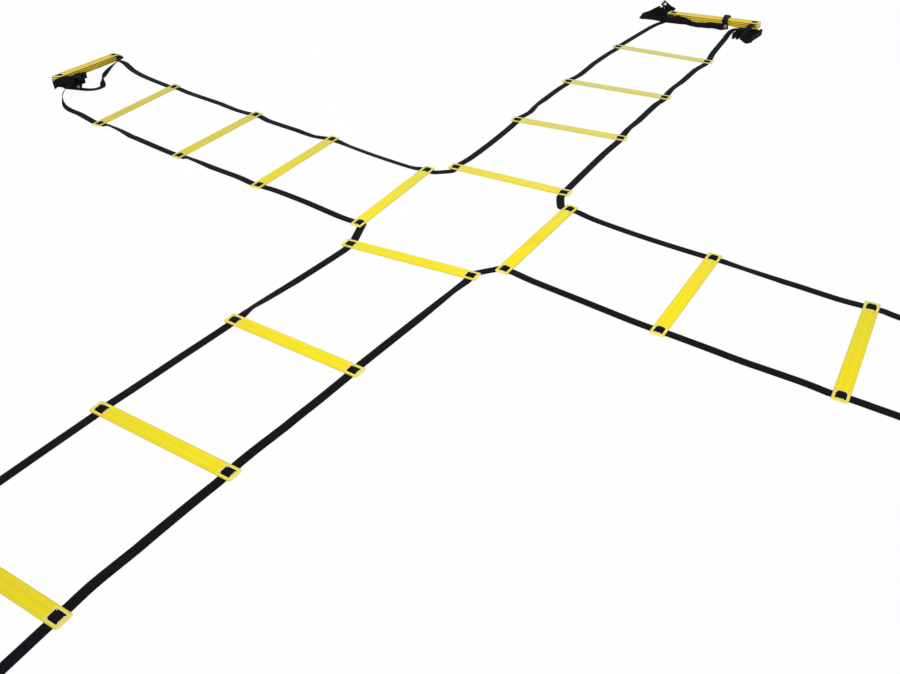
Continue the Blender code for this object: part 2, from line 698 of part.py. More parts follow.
def cut_stud_hole(strap, place, owner):
    bpy.ops.mesh.primitive_cylinder_add(vertices=12, radius=STUD_HOLE_RADIUS, depth=0.006)
    cutter = bpy.context.active_object
    cutter.name = strap.name + "_hole"
    for collection in list(cutter.users_collection):
        collection.objects.unlink(cutter)
    CUTTERS.objects.link(cutter)
    cutter.parent = owner
    cutter.matrix_local = owner.matrix_world.inverted() @ place
    cutter.hide_render = True
    cutter.display_type = "WIRE"
    hole = strap.modifiers.new("stud_hole", "BOOLEAN")
    hole.object = cutter
    hole.solver = "EXACT"


# Slats


def closed_spline(curve, points):
    spline = curve.splines.new("POLY")
    spline.points.add(len(points) - 1)
    for spot, (x, y) in zip(spline.points, points):
        spot.co = (x, y, 0, 1)
    spline.use_cyclic_u = True


def new_slat_curve():
    """A flat plate with rounded corners and a pair of slots at each end. X is across the slat."""
    curve = bpy.data.curves.new("slat", "CURVE")
    curve.dimensions = "2D"
    curve.fill_mode = "BOTH"
    curve.extrude = SLAT_THICKNESS / 2
    centre_x = SLAT_WIDTH / 2 - SLAT_CORNER_RADIUS
    centre_y = SLAT_LENGTH / 2 - SLAT_CORNER_RADIUS
    outline = []
    for corner, (x_sign, y_sign) in enumerate(((1, 1), (-1, 1), (-1, -1), (1, -1))):
        for step in range(CORNER_STEPS + 1):
            angle = math.radians(90 * (corner + step / CORNER_STEPS))
            x = x_sign * centre_x + SLAT_CORNER_RADIUS * math.cos(angle)
            y = y_sign * centre_y + SLAT_CORNER_RADIUS * math.sin(angle)
            outline.append((x, y))
    closed_spline(curve, outline)
    inner = SLOT_BAR_WIDTH / 2
    outer = inner + SLOT_WIDTH
    for x_sign in (-1, 1):
        for y_sign in (-1, 1):
            middle = y_sign * STRAP_SPACING / 2
            near, far = middle - SLOT_LENGTH / 2, middle + SLOT_LENGTH / 2
            left, right = sorted((x_sign * inner, x_sign * outer))
            closed_spline(curve, [(left, near), (right, near), (right, far), (left, far)])
    curve.materials.append(YELLOW_PLASTIC)
    return curve


def new_slat(name, curve, frame, owner=None):
    slat = bpy.data.objects.new(name, curve)
    place = frame @ Matrix.Translation((0, 0, SLAT_MIDDLE))
    slat.parent = owner
    slat.matrix_local = owner.matrix_world.inverted() @ place if owner else place
    LADDER.objects.link(slat)


# The ladder put together


def inner_rail(arm, side):
    """The strap along one side of an arm, from its first slat to its first fold line."""
    stretches = [woven_pass(slat_frame(arm, number), side) for number in (0, 1)]
    stretches.append(fold_stretch(arm, 1, side, -1))
    return joined(stretches, [along_bay(arm, 0, side), along_bay(arm, 1, side, (0, 0.5))])


def corner_strap(left_arm, right_arm):
    """A strap's middle stretch, in along one arm's left side and out along the next arm's right side."""
    inwards = inner_rail(left_arm, 1)
    inwards.reverse()
    outwards = inner_rail(right_arm, -1)
    return inwards + run_between(inwards, outwards, 6) + outwards


def middle_strap(arm, side):
    start = fold_stretch(arm, 1, side, 1)
    end = fold_stretch(arm, 2, side, -1)
    vias = [along_bay(arm, 1, side, (0.5, 1)), along_bay(arm, 2, side, (0, 0.5))]
    return joined([start, woven_pass(slat_frame(arm, 2), side), end], vias)


def build():
    slat_curve = new_slat_curve()
    stud_mesh = new_stud_mesh()
    for left_arm, right_arm in (("d", "b"), ("b", "a"), ("a", "c"), ("c", "d")):
        new_strap(f"corner_strap_{left_arm}{right_arm}", corner_strap(left_arm, right_arm))
    for arm in ARM_HEADING:
        fold_up = new_joint_empty(f"arm_{arm}_fold_up", fold_frame(arm, 1, FOLD_UP_HEIGHT))
        fold_back = new_joint_empty(f"arm_{arm}_fold_back", fold_frame(arm, 2, FOLD_BACK_HEIGHT))
        for number in range(4):
            new_slat(f"slat_{arm}{number + 1}", slat_curve, slat_frame(arm, number))
        for layer in range(STACK_SLATS):
            name = f"stacked_slat_{arm}{layer + 5}"
            new_slat(name, slat_curve, stack_frame(arm, layer), fold_back)
        for side_name, side in (("left", 1), ("right", -1)):
            new_strap(f"middle_strap_{arm}_{side_name}", middle_strap(arm, side), fold_up)
            stations = strap_to_stack(arm, side)
            name = f"end_strap_{arm}_{side_name}"
            strap = new_strap(name, stations, fold_back)
            place = new_stud(f"press_stud_{arm}_{side_name}", stud_mesh, stations, fold_back)
            cut_stud_hole(strap, place, fold_back)
            length = sum((b[0] - a[0]).length for a, b in zip(stations, stations[1:]))
            gap, place = least_gap(stations)
            print(f"{name}: {length:.2f} m, least gap {gap * 1000:.2f} mm at {place[0]:.3f} and {place[1]:.3f} m")


build()
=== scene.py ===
"""An agility ladder laid out on a white floor as a cross: yellow plastic slats on four black woven straps."""
import math

import bpy
from mathutils import Matrix, Vector


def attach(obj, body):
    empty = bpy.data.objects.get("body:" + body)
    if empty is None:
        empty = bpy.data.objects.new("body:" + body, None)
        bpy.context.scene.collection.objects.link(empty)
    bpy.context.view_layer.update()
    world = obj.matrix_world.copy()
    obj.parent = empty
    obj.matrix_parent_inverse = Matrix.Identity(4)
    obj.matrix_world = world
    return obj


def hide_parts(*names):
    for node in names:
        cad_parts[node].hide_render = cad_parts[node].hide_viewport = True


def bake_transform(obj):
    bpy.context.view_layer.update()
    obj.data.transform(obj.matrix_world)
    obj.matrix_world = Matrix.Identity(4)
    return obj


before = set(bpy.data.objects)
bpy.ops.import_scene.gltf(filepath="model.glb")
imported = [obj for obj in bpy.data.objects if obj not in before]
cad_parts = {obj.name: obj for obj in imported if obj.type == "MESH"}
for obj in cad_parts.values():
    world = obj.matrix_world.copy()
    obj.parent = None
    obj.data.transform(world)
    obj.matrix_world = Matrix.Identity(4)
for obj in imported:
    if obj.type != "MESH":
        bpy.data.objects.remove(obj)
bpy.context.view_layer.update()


# The slats laid out along the arms. Each is a flat bar of tough yellow plastic with a pair of slots pressed
# through it near each end. Nothing fastens it: the straps thread through its slots, so it slides along them.

SLAT_LENGTH, SLAT_WIDTH, SLAT_THICKNESS, SLAT_CORNER = 0.425, 0.038, 0.003, 0.005
SLAT_EDGE_ROUNDING = 0.0005
SLOT_LENGTH, SLOT_WIDTH, SLOT_CORNER, SLOT_BAR = 0.0275, 0.006, 0.0010, 0.012
STRAP_SPACING = 0.380
RAIL = STRAP_SPACING / 2

# A strap's thickness and the play round it set how high a slat lies above the ground
WEBBING_WIDTH, WEBBING_THICKNESS, PLAY = 0.025, 0.0014, 0.0003
WEBBING_LOW = WEBBING_THICKNESS / 2
SLAT_MIDDLE = WEBBING_THICKNESS + PLAY + SLAT_THICKNESS / 2

# Each slat's distance out from the open centre, its shift to the left of the arm's line and its turn
ARM_HEADING = {"a": 180, "b": 90, "c": -90, "d": 0}
PLAN_SHIFT = Vector((-0.0300, 0.0012, 0.0))
SLAT_LAY = {
    "a": [(0.246, 0.009, 2.8), (0.664, -0.012, 1.8), (1.042, -0.030, 1.1), (1.500, -0.064, 3.7)],
    "b": [(0.261, -0.005, 4.1), (0.693, 0.007, 7.1), (1.099, 0.014, 5.9), (1.532, 0.007, 2.8)],
    "c": [(0.285, 0.005, 6.3), (0.746, -0.018, 0.3), (1.145, -0.035, 1.6), (1.560, -0.043, 2.0)],
    "d": [(0.256, 0.000, -0.2), (0.715, -0.038, 0.4), (1.140, -0.053, 3.2), (1.565, -0.060, 2.0)],
}


def lay_frame(arm, distance, shift, turn, height=0.0, tilt=0.0):
    """The matrix of a slat or a stack: its X points out along the arm, its Y to the left along the slat."""
    heading = ARM_HEADING[arm]
    arm_turn = Matrix.Rotation(math.radians(heading), 4, "Z")
    place = Matrix.Translation(arm_turn @ Vector((distance, shift, height)) + PLAN_SHIFT)
    turned = Matrix.Rotation(math.radians(heading + turn), 4, "Z")
    return place @ turned @ Matrix.Rotation(math.radians(tilt), 4, "X")


def slat_frame(arm, number):
    """The matrix of a laid slat, whose numbers start from 0 at the centre."""
    return lay_frame(arm, *SLAT_LAY[arm][number])


def take_up(piece):
    """Leaves only this piece selected and active."""
    bpy.ops.object.select_all(action="DESELECT")
    piece.select_set(True)
    bpy.context.view_layer.objects.active = piece


def block_with_round_corners(size, place, radius, segments):
    """A flat block whose four upright edges are rounded."""
    bpy.ops.object.select_all(action="DESELECT")
    bpy.ops.mesh.primitive_cube_add(size=1, location=place, scale=size)
    block = bpy.context.active_object
    bpy.ops.object.transform_apply(location=True, rotation=True, scale=True)
    mesh = block.data
    for parts in (mesh.vertices, mesh.edges, mesh.polygons):
        parts.foreach_set("select", [False] * len(parts))
    for edge in mesh.edges:
        start, end = (mesh.vertices[i] for i in edge.vertices)
        if abs(start.co.z - end.co.z) > size[2] / 2:
            edge.select = start.select = end.select = True
    bpy.context.tool_settings.mesh_select_mode = (False, True, False)
    bpy.ops.object.mode_set(mode="EDIT")
    bpy.ops.mesh.bevel(offset=radius, segments=segments, affect="EDGES")
    bpy.ops.object.mode_set(mode="OBJECT")
    return block


def apply_modifier(piece, kind, **settings):
    """Adds a modifier of this kind and applies it."""
    take_up(piece)
    modifier = piece.modifiers.new(kind.lower(), kind)
    for name, value in settings.items():
        setattr(modifier, name, value)
    bpy.ops.object.modifier_apply(modifier=modifier.name)


slat_size = (SLAT_WIDTH, SLAT_LENGTH, SLAT_THICKNESS)
plain_slat = block_with_round_corners(slat_size, (0, 0, 0), SLAT_CORNER, 6)
punches = []
for across in (-1, 1):
    for end in (-1, 1):
        place = (across * (SLOT_BAR + SLOT_WIDTH) / 2, end * RAIL, 0)
        size = (SLOT_WIDTH, SLOT_LENGTH, 4 * SLAT_THICKNESS)
        punches.append(block_with_round_corners(size, place, SLOT_CORNER, 3))
take_up(punches[0])
for punch in punches:
    punch.select_set(True)
bpy.ops.object.join()
punch = bpy.context.active_object
apply_modifier(plain_slat, "BOOLEAN", object=punch, operation="DIFFERENCE", solver="EXACT")
bpy.data.objects.remove(punch)
rounding = {"width": SLAT_EDGE_ROUNDING, "segments": 2}
apply_modifier(plain_slat, "BEVEL", **rounding, limit_method="ANGLE", angle_limit=math.radians(50))
take_up(plain_slat)
bpy.ops.object.shade_smooth_by_angle(angle=math.radians(40))

# The slat's own map is in metres, along and across the slat, with this value at the slat's middle
MAP_MIDDLE = 0.5
for loop in plain_slat.data.loops:
    spot = plain_slat.data.vertices[loop.vertex_index].co
    plain_slat.data.uv_layers.active.data[loop.index].uv = (spot.y + MAP_MIDDLE, spot.x + MAP_MIDDLE)


class Wire:
    """A socket of a material. Sums and products of wires and numbers add Math nodes."""

    def __init__(self, tree, socket=None):
        self.tree = tree
        self.socket = socket

    def node(self, kind, settings=None, inputs=None, output=0):
        """A new node with these settings, then these values or wires on its sockets."""
        made = self.tree.nodes.new(kind)
        for name, value in (settings or {}).items():
            setattr(made, name, value)
        for name, value in (inputs or {}).items():
            if isinstance(value, Wire):
                self.tree.links.new(value.socket, made.inputs[name])
            else:
                made.inputs[name].default_value = value
        return Wire(self.tree, made.outputs[output])

    def math(self, operation, *values):
        """A Math node on this wire, followed by these values or wires."""
        return self.node("ShaderNodeMath", {"operation": operation}, dict(enumerate((self, *values))))

    def __add__(self, other):
        return self.math("ADD", other)

    def __radd__(self, other):
        return self + other

    def __sub__(self, other):
        return self.math("SUBTRACT", other)

    def __rsub__(self, other):
        return self.node("ShaderNodeMath", {"operation": "SUBTRACT"}, {0: other, 1: self})

    def __mul__(self, other):
        return self.math("MULTIPLY", other)

    def __rmul__(self, other):
        return self * other

    def __abs__(self):
        return self.math("ABSOLUTE")

    def fade(self, start, end):
        """0 up to the start, 1 from the end on and smooth between them. The start may be the greater."""
        settings = {"interpolation_type": "SMOOTHSTEP"}
        return self.node("ShaderNodeMapRange", settings, {"Value": self, "From Min": start, "From Max": end})

    def noise(self, scale, detail):
        """Cloudy noise at the place that this wire carries."""
        return self.node("ShaderNodeTexNoise", inputs={"Vector": self, "Scale": scale, "Detail": detail})

    def mix(self, under, over):
        """The colour under where this wire is 0 and the colour over where it is 1."""
        factor, colour_a, colour_b, colour_out = 0, 6, 7, 2
        under = under if isinstance(under, Wire) else (*under, 1)
        over = over if isinstance(over, Wire) else (*over, 1)
        inputs = {factor: self, colour_a: under, colour_b: over}
        return self.node("ShaderNodeMix", {"data_type": "RGBA"}, inputs, output=colour_out)

    def parts(self):
        """The X and Y of a vector."""
        split = self.node("ShaderNodeSeparateXYZ", inputs={"Vector": self})
        return split, Wire(self.tree, split.socket.node.outputs["Y"])

    def bump(self, strength, distance):
        """A normal for this relief, where 1 is this distance high."""
        inputs = {"Strength": strength, "Distance": distance, "Height": self}
        return self.node("ShaderNodeBump", inputs=inputs)


def new_finish(name):
    """A material, its shader and the wire of the place on the floor plan, in metres."""
    material = bpy.data.materials.new(name)
    material.use_nodes = True
    shader = material.node_tree.nodes["Principled BSDF"]
    return material, shader, Wire(material.node_tree).node("ShaderNodeTexCoord", output="Object")


def connect(shader, **wires):
    """Links each wire to the shader's socket of that name, with _ for a space."""
    for name, wire in wires.items():
        wire.tree.links.new(wire.socket, shader.inputs[name.replace("_", " ")])


# Lemon yellow near one spot of the floor plan and more straw-coloured away from it: a painted pool of light.
# Paler towards the back: painted sheen. The stacked slats are darker and golden: painted shade. Mottled ochre
# patches lie over all of it. A paler rim round each pair of slots and at the ends is painted light, as if lit
# through from the white floor. Along the long edges the yellow is duller, painted shade, and in the stacks
# brighter, painted light over the shade between the stacked slats.
LIT_LEMON, SHADED_STRAW, PALE_SHEEN = (0.945, 0.790, 0.002), (0.580, 0.490, 0.020), (0.72, 0.66, 0.25)
STACK_SHADE_GOLD, OCHRE, RIM_LIGHT_YELLOW = (0.69, 0.50, 0.010), (0.78, 0.56, 0.006), (0.80, 0.75, 0.33)
EDGE_SHADE, STACK_EDGE_LIGHT = (0.50, 0.44, 0.07), (0.95, 0.70, 0.020)
LIGHT_POOL_SPOT = (0.35, -0.5)
LIGHT_POOL_REACH, SHADED_REACH = 0.35, 2.05
SHEEN_START, SHEEN_END, SHEEN_SLANT = -0.20, 1.25, 0.12
LAID_REACH, STACK_REACH = 1.69, 1.74
SLOT_RIM, END_RIM, EDGE_BAND = (0.0042, 0.0028), (0.0045, 0.0030), (0.0024, 0.0010)
PATCH_SCALE, GRAIN_SCALE, STREAK_STRETCH = 7.0, 1100.0, (3.0, 240.0, 1.0)

slat_finish, shader, place = new_finish("slat_plastic_finish")
own_map = place.node("ShaderNodeUVMap", {"uv_map": "UVMap"})
along, across = own_map.parts()
out, ahead = place.parts()
from_end = abs(along - MAP_MIDDLE)
from_middle = abs(across - MAP_MIDDLE)

# Painted pool of light: lemon yellow near one spot, shading off to straw-coloured away from it
right, back = out - LIGHT_POOL_SPOT[0], ahead - LIGHT_POOL_SPOT[1]
from_light_pool = (right * right + back * back).math("SQRT")
colour = from_light_pool.fade(LIGHT_POOL_REACH, SHADED_REACH).mix(LIT_LEMON, SHADED_STRAW)
# Painted sheen: paler towards the back
pale_sheen = (ahead - out * SHEEN_SLANT).fade(SHEEN_START, SHEEN_END)
colour = (pale_sheen * 0.55).mix(colour, PALE_SHEEN)
# Painted shade: the stacked slats darker and golden
stacked = (out * out + ahead * ahead).math("SQRT").fade(LAID_REACH, STACK_REACH)
colour = (stacked * 0.85).mix(colour, STACK_SHADE_GOLD)
patches = place.noise(PATCH_SCALE, 3.0).fade(0.52, 0.75)
colour = (patches * 0.40).mix(colour, OCHRE)

# Painted light: a paler rim round each pair of slots and at the ends, as if lit through from the white floor
off_slots_end = abs(from_end - RAIL) - SLOT_LENGTH / 2
off_slots_side = from_middle - (SLOT_BAR / 2 + SLOT_WIDTH)
slot_rim = off_slots_end.math("MAXIMUM", off_slots_side).fade(*SLOT_RIM)
end_rim = from_end.fade(*(SLAT_LENGTH / 2 - inset for inset in END_RIM))
colour = (slot_rim.math("MAXIMUM", end_rim) * 0.60).mix(colour, RIM_LIGHT_YELLOW)
# Painted shade: duller along the long edges of the laid slats
edge = from_middle.fade(*(SLAT_WIDTH / 2 - inset for inset in EDGE_BAND))
colour = (edge * (1 - stacked) * 0.55).mix(colour, EDGE_SHADE)
# Painted light: brighter along the long edges in the stacks, over the shade between the stacked slats
colour = (edge * stacked * 0.80).mix(colour, STACK_EDGE_LIGHT)

streaks = own_map.node("ShaderNodeMapping", inputs={"Vector": own_map, "Scale": STREAK_STRETCH})
streaks = streaks.noise(2.0, 3.0)
grain = place.noise(GRAIN_SCALE, 2.0)
roughness = 0.34 + streaks * 0.14 + patches * 0.05
relief = streaks * 0.35 + grain * 0.65
connect(shader, Base_Color=colour, Roughness=roughness, Normal=relief.bump(0.35, 0.00025))
shader.inputs["Specular IOR Level"].default_value = 0.16
plain_slat.data.materials.clear()
plain_slat.data.materials.append(slat_finish)


def lay_slat(name, node, frame_of_slat, body):
    """A copy of the slat at its place, in its own mesh."""
    slat = plain_slat.copy()
    slat.data = plain_slat.data.copy()
    slat.name = name
    slat.data.transform(frame_of_slat @ Matrix.Translation((0, 0, SLAT_MIDDLE)))
    bpy.context.scene.collection.objects.link(slat)
    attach(slat, body)
    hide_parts(node)


for arm in ARM_HEADING:
    for number in range(4):
        name = f"slat_{arm}{number + 1}"
        lay_slat(f"{name}_plastic", name, slat_frame(arm, number), name)


# The stacked slats at the arms' ends, four of the same bars pushed together, the second of them face down.
# They lie on the gathered strap, so each stack is a little askew and tilted.

STACK_SLATS = 4
STACK_GAP = 0.0005
STACK_PITCH = SLAT_THICKNESS + 2 * (WEBBING_THICKNESS + PLAY) + STACK_GAP

# Each stack's distance out, its shift to the left of the arm's line and its turn, as for a slat, then the
# height of its middle and its tilt along the slats. The two out of the picture are like the two in it
STACK_LAY = {
    "a": (1.880, -0.148, 20.8, 0.0329, 8.5),
    "b": (1.957, -0.052, -6.5, 0.0182, -4.5),
    "c": (1.965, -0.070, -5.0, 0.0182, -4.5),
    "d": (1.935, -0.110, 16.0, 0.0329, 8.5),
}


def stack_frame(arm, layer=0):
    """The matrix of a stacked slat, whose layers start from 0 at the bottom."""
    return lay_frame(arm, *STACK_LAY[arm]) @ Matrix.Translation((0, 0, layer * STACK_PITCH))


def stack_ground(arm):
    """The matrix of the stack's place on the ground, level."""
    return lay_frame(arm, *STACK_LAY[arm][:3])


for arm in ARM_HEADING:
    for layer in range(STACK_SLATS):
        name = f"stacked_slat_{arm}{layer + 5}"
        lay_slat(f"{name}_plastic", name, stack_frame(arm, layer), f"arm_{arm}_end")
bpy.data.objects.remove(plain_slat)


# The webbing. Four straps of black woven webbing, 25 mm wide and 1.4 mm thick, hold the ladder together. Each
# runs in along one side of an arm and out along the next, up through one slot of every slat, over the bar and
# down through the other. It is woven in one length, so its pieces here only show where it bends or slides.

FOLD_GAP = 0.0005
WEBBING_HIGH = SLAT_MIDDLE + SLAT_THICKNESS / 2 + PLAY + WEBBING_THICKNESS / 2
UP = Vector((0, 0, 1))

# How the strap climbs over a slat's bar: distances from the bar's middle, and heights
PASS_HALF = 0.028
RISE = [
    (0.0116, WEBBING_LOW),
    (0.0099, WEBBING_LOW + 0.0009),
    (0.0077, WEBBING_HIGH - 0.0009),
    (0.0060, WEBBING_HIGH),
]
WEAVE = [(-PASS_HALF, WEBBING_LOW)]
WEAVE += [(-distance, height) for distance, height in RISE]
WEAVE += [(distance, height) for distance, height in reversed(RISE)]
WEAVE += [(PASS_HALF, WEBBING_LOW)]

# For each arm and side, three lists, one for each bay, of places where the strap is off the straight line:
# share of the way out, shift to the left and lean of its left edge in degrees
RAIL_LAY = {
    ("a", 1): (
        [(0.2, 0.0035, 0), (0.5, -0.0040, 0), (0.8, -0.0061, 0)],
        [(0.25, -0.0035, 0), (0.5, -0.0036, 0), (0.72, -0.0038, 8), (0.86, -0.0023, 17)],
        [(0.25, 0.0020, 0), (0.5, -0.0019, 0), (0.72, -0.0045, 15), (0.86, -0.0050, 24)],
    ),
    ("a", -1): (
        [(0.15, 0.0140, 9), (0.5, 0.0138, 10), (0.8, 0.0078, 13)],
        [(0.2, 0.0160, 6), (0.5, 0.0107, 0), (0.8, 0.0080, 0)],
        [(0.2, 0.0090, 4), (0.5, 0.0032, 0), (0.8, 0.0018, 0)],
    ),
    ("b", 1): (
        [(0.2, -0.0056, 0), (0.5, -0.0079, 0), (0.8, -0.0057, 0)],
        [(0.2, -0.0060, -6), (0.33, -0.0007, -15), (0.5, 0.0018, 0), (0.8, 0.0016, 0)],
        [(0.2, -0.0040, 0), (0.5, 0.0029, 0), (0.8, 0.0022, 0)],
    ),
    ("b", -1): (
        [(0.3, 0.0020, 0), (0.7, 0.0020, 0)],
        [(0.2, 0.0058, -10), (0.5, 0.0049, 0), (0.8, 0.0043, 0)],
        [(0.2, 0.0080, -10), (0.5, 0.0072, 0), (0.75, 0.0080, 0)],
    ),
    ("c", 1): (
        [(0.2, 0.0042, 14), (0.5, 0.0009, 0)],
        [(0.3, 0.0016, 0), (0.5, 0.0001, 0), (0.8, -0.0024, 0)],
        [(0.25, -0.0010, 0), (0.5, -0.0025, 0), (0.8, -0.0050, 0)],
    ),
    ("c", -1): (
        [(0.2, 0.0047, 0), (0.5, 0.0022, 0), (0.75, -0.0010, 9), (0.87, -0.0015, 18)],
        [(0.3, 0.0005, 0), (0.5, -0.0001, 0), (0.8, -0.0010, 0)],
        [(0.3, 0.0008, 0), (0.5, 0.0008, 0), (0.8, 0.0005, 0)],
    ),
    ("d", 1): (
        [(0.2, -0.0074, 0), (0.5, -0.0107, 0), (0.8, -0.0065, 0)],
        [(0.2, -0.0037, -7), (0.5, -0.0050, 0), (0.8, -0.0065, 0)],
        [(0.2, -0.0060, 0), (0.5, -0.0040, 0), (0.8, -0.0020, 0)],
    ),
    ("d", -1): (
        [(0.2, -0.0022, 0), (0.5, -0.0027, 0), (0.8, -0.0037, 0)],
        [(0.3, -0.0003, 0), (0.5, -0.0017, 0), (0.8, 0.0006, 0)],
        [(0.2, 0.0015, 0), (0.5, 0.0010, 0), (0.8, 0.0, 0)],
    ),
}


def station(frame_here, along, side, height, across=(0, 1, 0)):
    """A place on a strap: the middle of its width and thickness, and the direction across it."""
    middle_here = frame_here @ Vector((along, side, height))
    return middle_here, (frame_here.to_3x3() @ Vector(across)).normalized()


def woven_pass(frame_here, side, flipped=False, inwards=False):
    """The strap through one end of a slat. A flipped slat has its underside up."""
    stations = []
    for along, height in WEAVE:
        if flipped:
            height = 2 * SLAT_MIDDLE - height
        stations.append(station(frame_here, along, side * RAIL, height, (0, side, 0)))
    if inwards:
        stations.reverse()
    return stations


def fold_frame(arm, inner):
    """The line across an arm where it folds, halfway between the slat of this number and the next."""
    near = slat_frame(arm, inner).translation
    far = slat_frame(arm, inner + 1).translation
    along = far - near
    return Matrix.Translation((near + far) / 2) @ Matrix.Rotation(math.atan2(along.y, along.x), 4, "Z")


def on_fold(arm, inner, side, distance):
    """The strap's place this far out from a fold line."""
    shift = next(aside for share, aside, _ in RAIL_LAY[arm, side][inner] if share == 0.5)
    return station(fold_frame(arm, inner), distance, side * RAIL + shift, WEBBING_LOW, (0, side, 0))


SQUARE_TO_FOLD = 0.02


def fold_stretch(arm, inner, side, part):
    """The strap's short stretch square to a fold line. The inner part is -1 and the outer is 1."""
    stations = [on_fold(arm, inner, side, part * clearance) for clearance in (PLAY / 2, SQUARE_TO_FOLD)]
    return stations if part > 0 else stations[::-1]


EDGE_CLEARANCE = 0.0001


def off_the_ground(point, across):
    """The station raised, where need be, until the strap's lower edge is just clear of the ground."""
    lean = min(1.0, abs(across.z))
    least = lean * WEBBING_WIDTH / 2 + math.sqrt(1 - lean**2) * WEBBING_THICKNESS / 2
    return Vector((point.x, point.y, max(point.z, least + EDGE_CLEARANCE * lean))), across


def along_bay(arm, inner, side, shares=(0, 1)):
    """The strap's places between two slats, as far as these shares of the way out."""
    start = slat_frame(arm, inner) @ Vector((0, side * RAIL, 0))
    end = slat_frame(arm, inner + 1) @ Vector((0, side * RAIL, 0))
    left = UP.cross(end - start).normalized()
    stations = []
    for share, shift, lean in RAIL_LAY[arm, side][inner]:
        if shares[0] < share < shares[1]:
            across = left * math.cos(math.radians(lean)) + UP * math.sin(math.radians(lean))
            point = start.lerp(end, share) + left * shift + UP * WEBBING_LOW
            stations.append(off_the_ground(point, across * side))
    return stations


def smooth(stations, steps):
    """An even curve through the stations, with this many pieces between each two."""
    first, last = stations[0], stations[-1]
    before = (2 * first[0] - stations[1][0], first[1])
    after = (2 * last[0] - stations[-2][0], last[1])
    held = [before, *stations, after]
    result = [first]
    for i in range(1, len(held) - 2):
        p0, p1, p2, p3 = (held[i + k][0] for k in (-1, 0, 1, 2))
        a = 2 * p1
        b = p2 - p0
        c = 2 * p0 - 5 * p1 + 4 * p2 - p3
        d = 3 * p1 - p0 - 3 * p2 + p3
        for step in range(1, steps + 1):
            t = step / steps
            heading = (b + 2 * c * t + 3 * d * t**2).normalized()
            across = held[i][1].lerp(held[i + 1][1], t)
            across -= heading * across.dot(heading)
            result.append((0.5 * (a + b * t + c * t**2 + d * t**3), across.normalized()))
    return result


def run_between(start, end, steps, via=()):
    """The strap from the last station of one stretch to the first of the next, leaving each straight on."""
    line = smooth([start[-2], start[-1], *via, end[0], end[1]], steps)
    return line[steps + 1 : -steps - 1]


def joined(stretches, vias):
    """Stretches in line, each led to the next by way of its list of places."""
    stations = list(stretches[0])
    for before, after, via in zip(stretches, stretches[1:], vias):
        stations += run_between(before, after, 2, via) + list(after)
    return stations


def inner_rail(arm, side):
    """The strap along one side of an arm, from its first slat to its first fold line."""
    stretches = [woven_pass(slat_frame(arm, number), side) for number in (0, 1)]
    stretches.append(fold_stretch(arm, 1, side, -1))
    return joined(stretches, [along_bay(arm, 0, side), along_bay(arm, 1, side, (0, 0.5))])


# The corners left of these arms are pulled tight against the two slats
TIGHT_CORNERS = ("a", "c")


def corner(left_arm, right_arm):
    """In along one arm's left side, round the open centre and out along the next arm's right side."""
    inwards = inner_rail(left_arm, 1)[::-1]
    outwards = inner_rail(right_arm, -1)
    if left_arm in TIGHT_CORNERS:
        inwards, outwards = inwards[:-1], outwards[1:]
    return inwards + run_between(inwards, outwards, 6) + outwards


def middle(arm, side):
    """From the arm's first fold line through its third slat to its second fold line."""
    start = fold_stretch(arm, 1, side, 1)
    end = fold_stretch(arm, 2, side, -1)
    vias = [along_bay(arm, 1, side, (0.5, 1)), along_bay(arm, 2, side, (0, 0.5))]
    return joined([start, woven_pass(slat_frame(arm, 2), side), end], vias)


# The gathered webbing at the arms' ends. The strap runs to and fro through the stacked slats, and what is
# left over is folded up under or beside the stack or wrapped round it. Places are distance out, w and height,
# with w the distance from the stack's middle towards the strap's own side.

ON_EDGE = WEBBING_WIDTH / 2 + PLAY
TIP_LENGTH = 0.026
UNDER_TOP_SLAT = (STACK_SLATS - 1) * STACK_PITCH + WEBBING_LOW
OVER_SECOND_SLAT = STACK_PITCH + 2 * SLAT_MIDDLE - WEBBING_LOW
SIDE_TURN, EDGE_TURN = 0.017, 0.018

# The sine and cosine of the angles at which a turn has its stations
QUARTER_TURN, HALF_TURN = (
    [(math.sin(angle), math.cos(angle)) for angle in map(math.radians, angles)]
    for angles in ((0, 30, 60, 90), (-90, -30, 30, 90))
)


def local(frame_here, side):
    """A function that makes a station from a place and a direction across, both in this frame."""

    def make(along, w, height, across=(0, 1, 0)):
        out, aside, upwards = across
        return station(frame_here, along, side * w, height, (out, side * aside, upwards))

    return make


def edgewise(make, places, across=(0, 0, -1)):
    """The strap stood on its edge at these places."""
    return [make(*place, across) for place in places]


def standing_folds(make, front, back, start, end, folds, height, on_edge=(0, 0, -1), rise=0.0):
    """The strap stood on its edge in folds to and fro along the arm, rising by this much to the last one."""
    pitch = (end - start) / folds
    radius = abs(pitch) / 2
    stations = []
    for fold in range(folds):
        turn, outwards = (back, 1) if fold % 2 == 0 else (front, -1)
        halfway = start + (fold + 0.5) * pitch
        for sine, cosine in HALF_TURN:
            w = halfway + pitch / 2 * sine
            lift = rise * (w - start) / (end - start)
            stations.append(make(turn + outwards * radius * cosine, w, height + lift, on_edge))
    return stations


def doubled_back(spine, side, near, far):
    """Out along the spine and back in front of it, this far away where it starts and where it ends."""
    points = [point for point, _ in spine]
    headings = [after - before for before, after in zip([points[0], *points], [*points[1:], points[-1]])]
    returning = []
    for i, (point, across) in enumerate(spine):
        aside = across.cross(headings[i]).normalized() * side
        apart = near + (far - near) * min(1, i / 3)
        returning.append((point + aside * apart, across))
    tip, across = spine[-1]
    aside = returning[-1][0] - tip
    turn = []
    for angle in (60, 120):
        outwards = headings[-1].normalized() * far / 2 * math.sin(math.radians(angle))
        turn.append((tip + aside * (1 - math.cos(math.radians(angle))) / 2 + outwards, across))
    return spine + turn + returning[::-1]


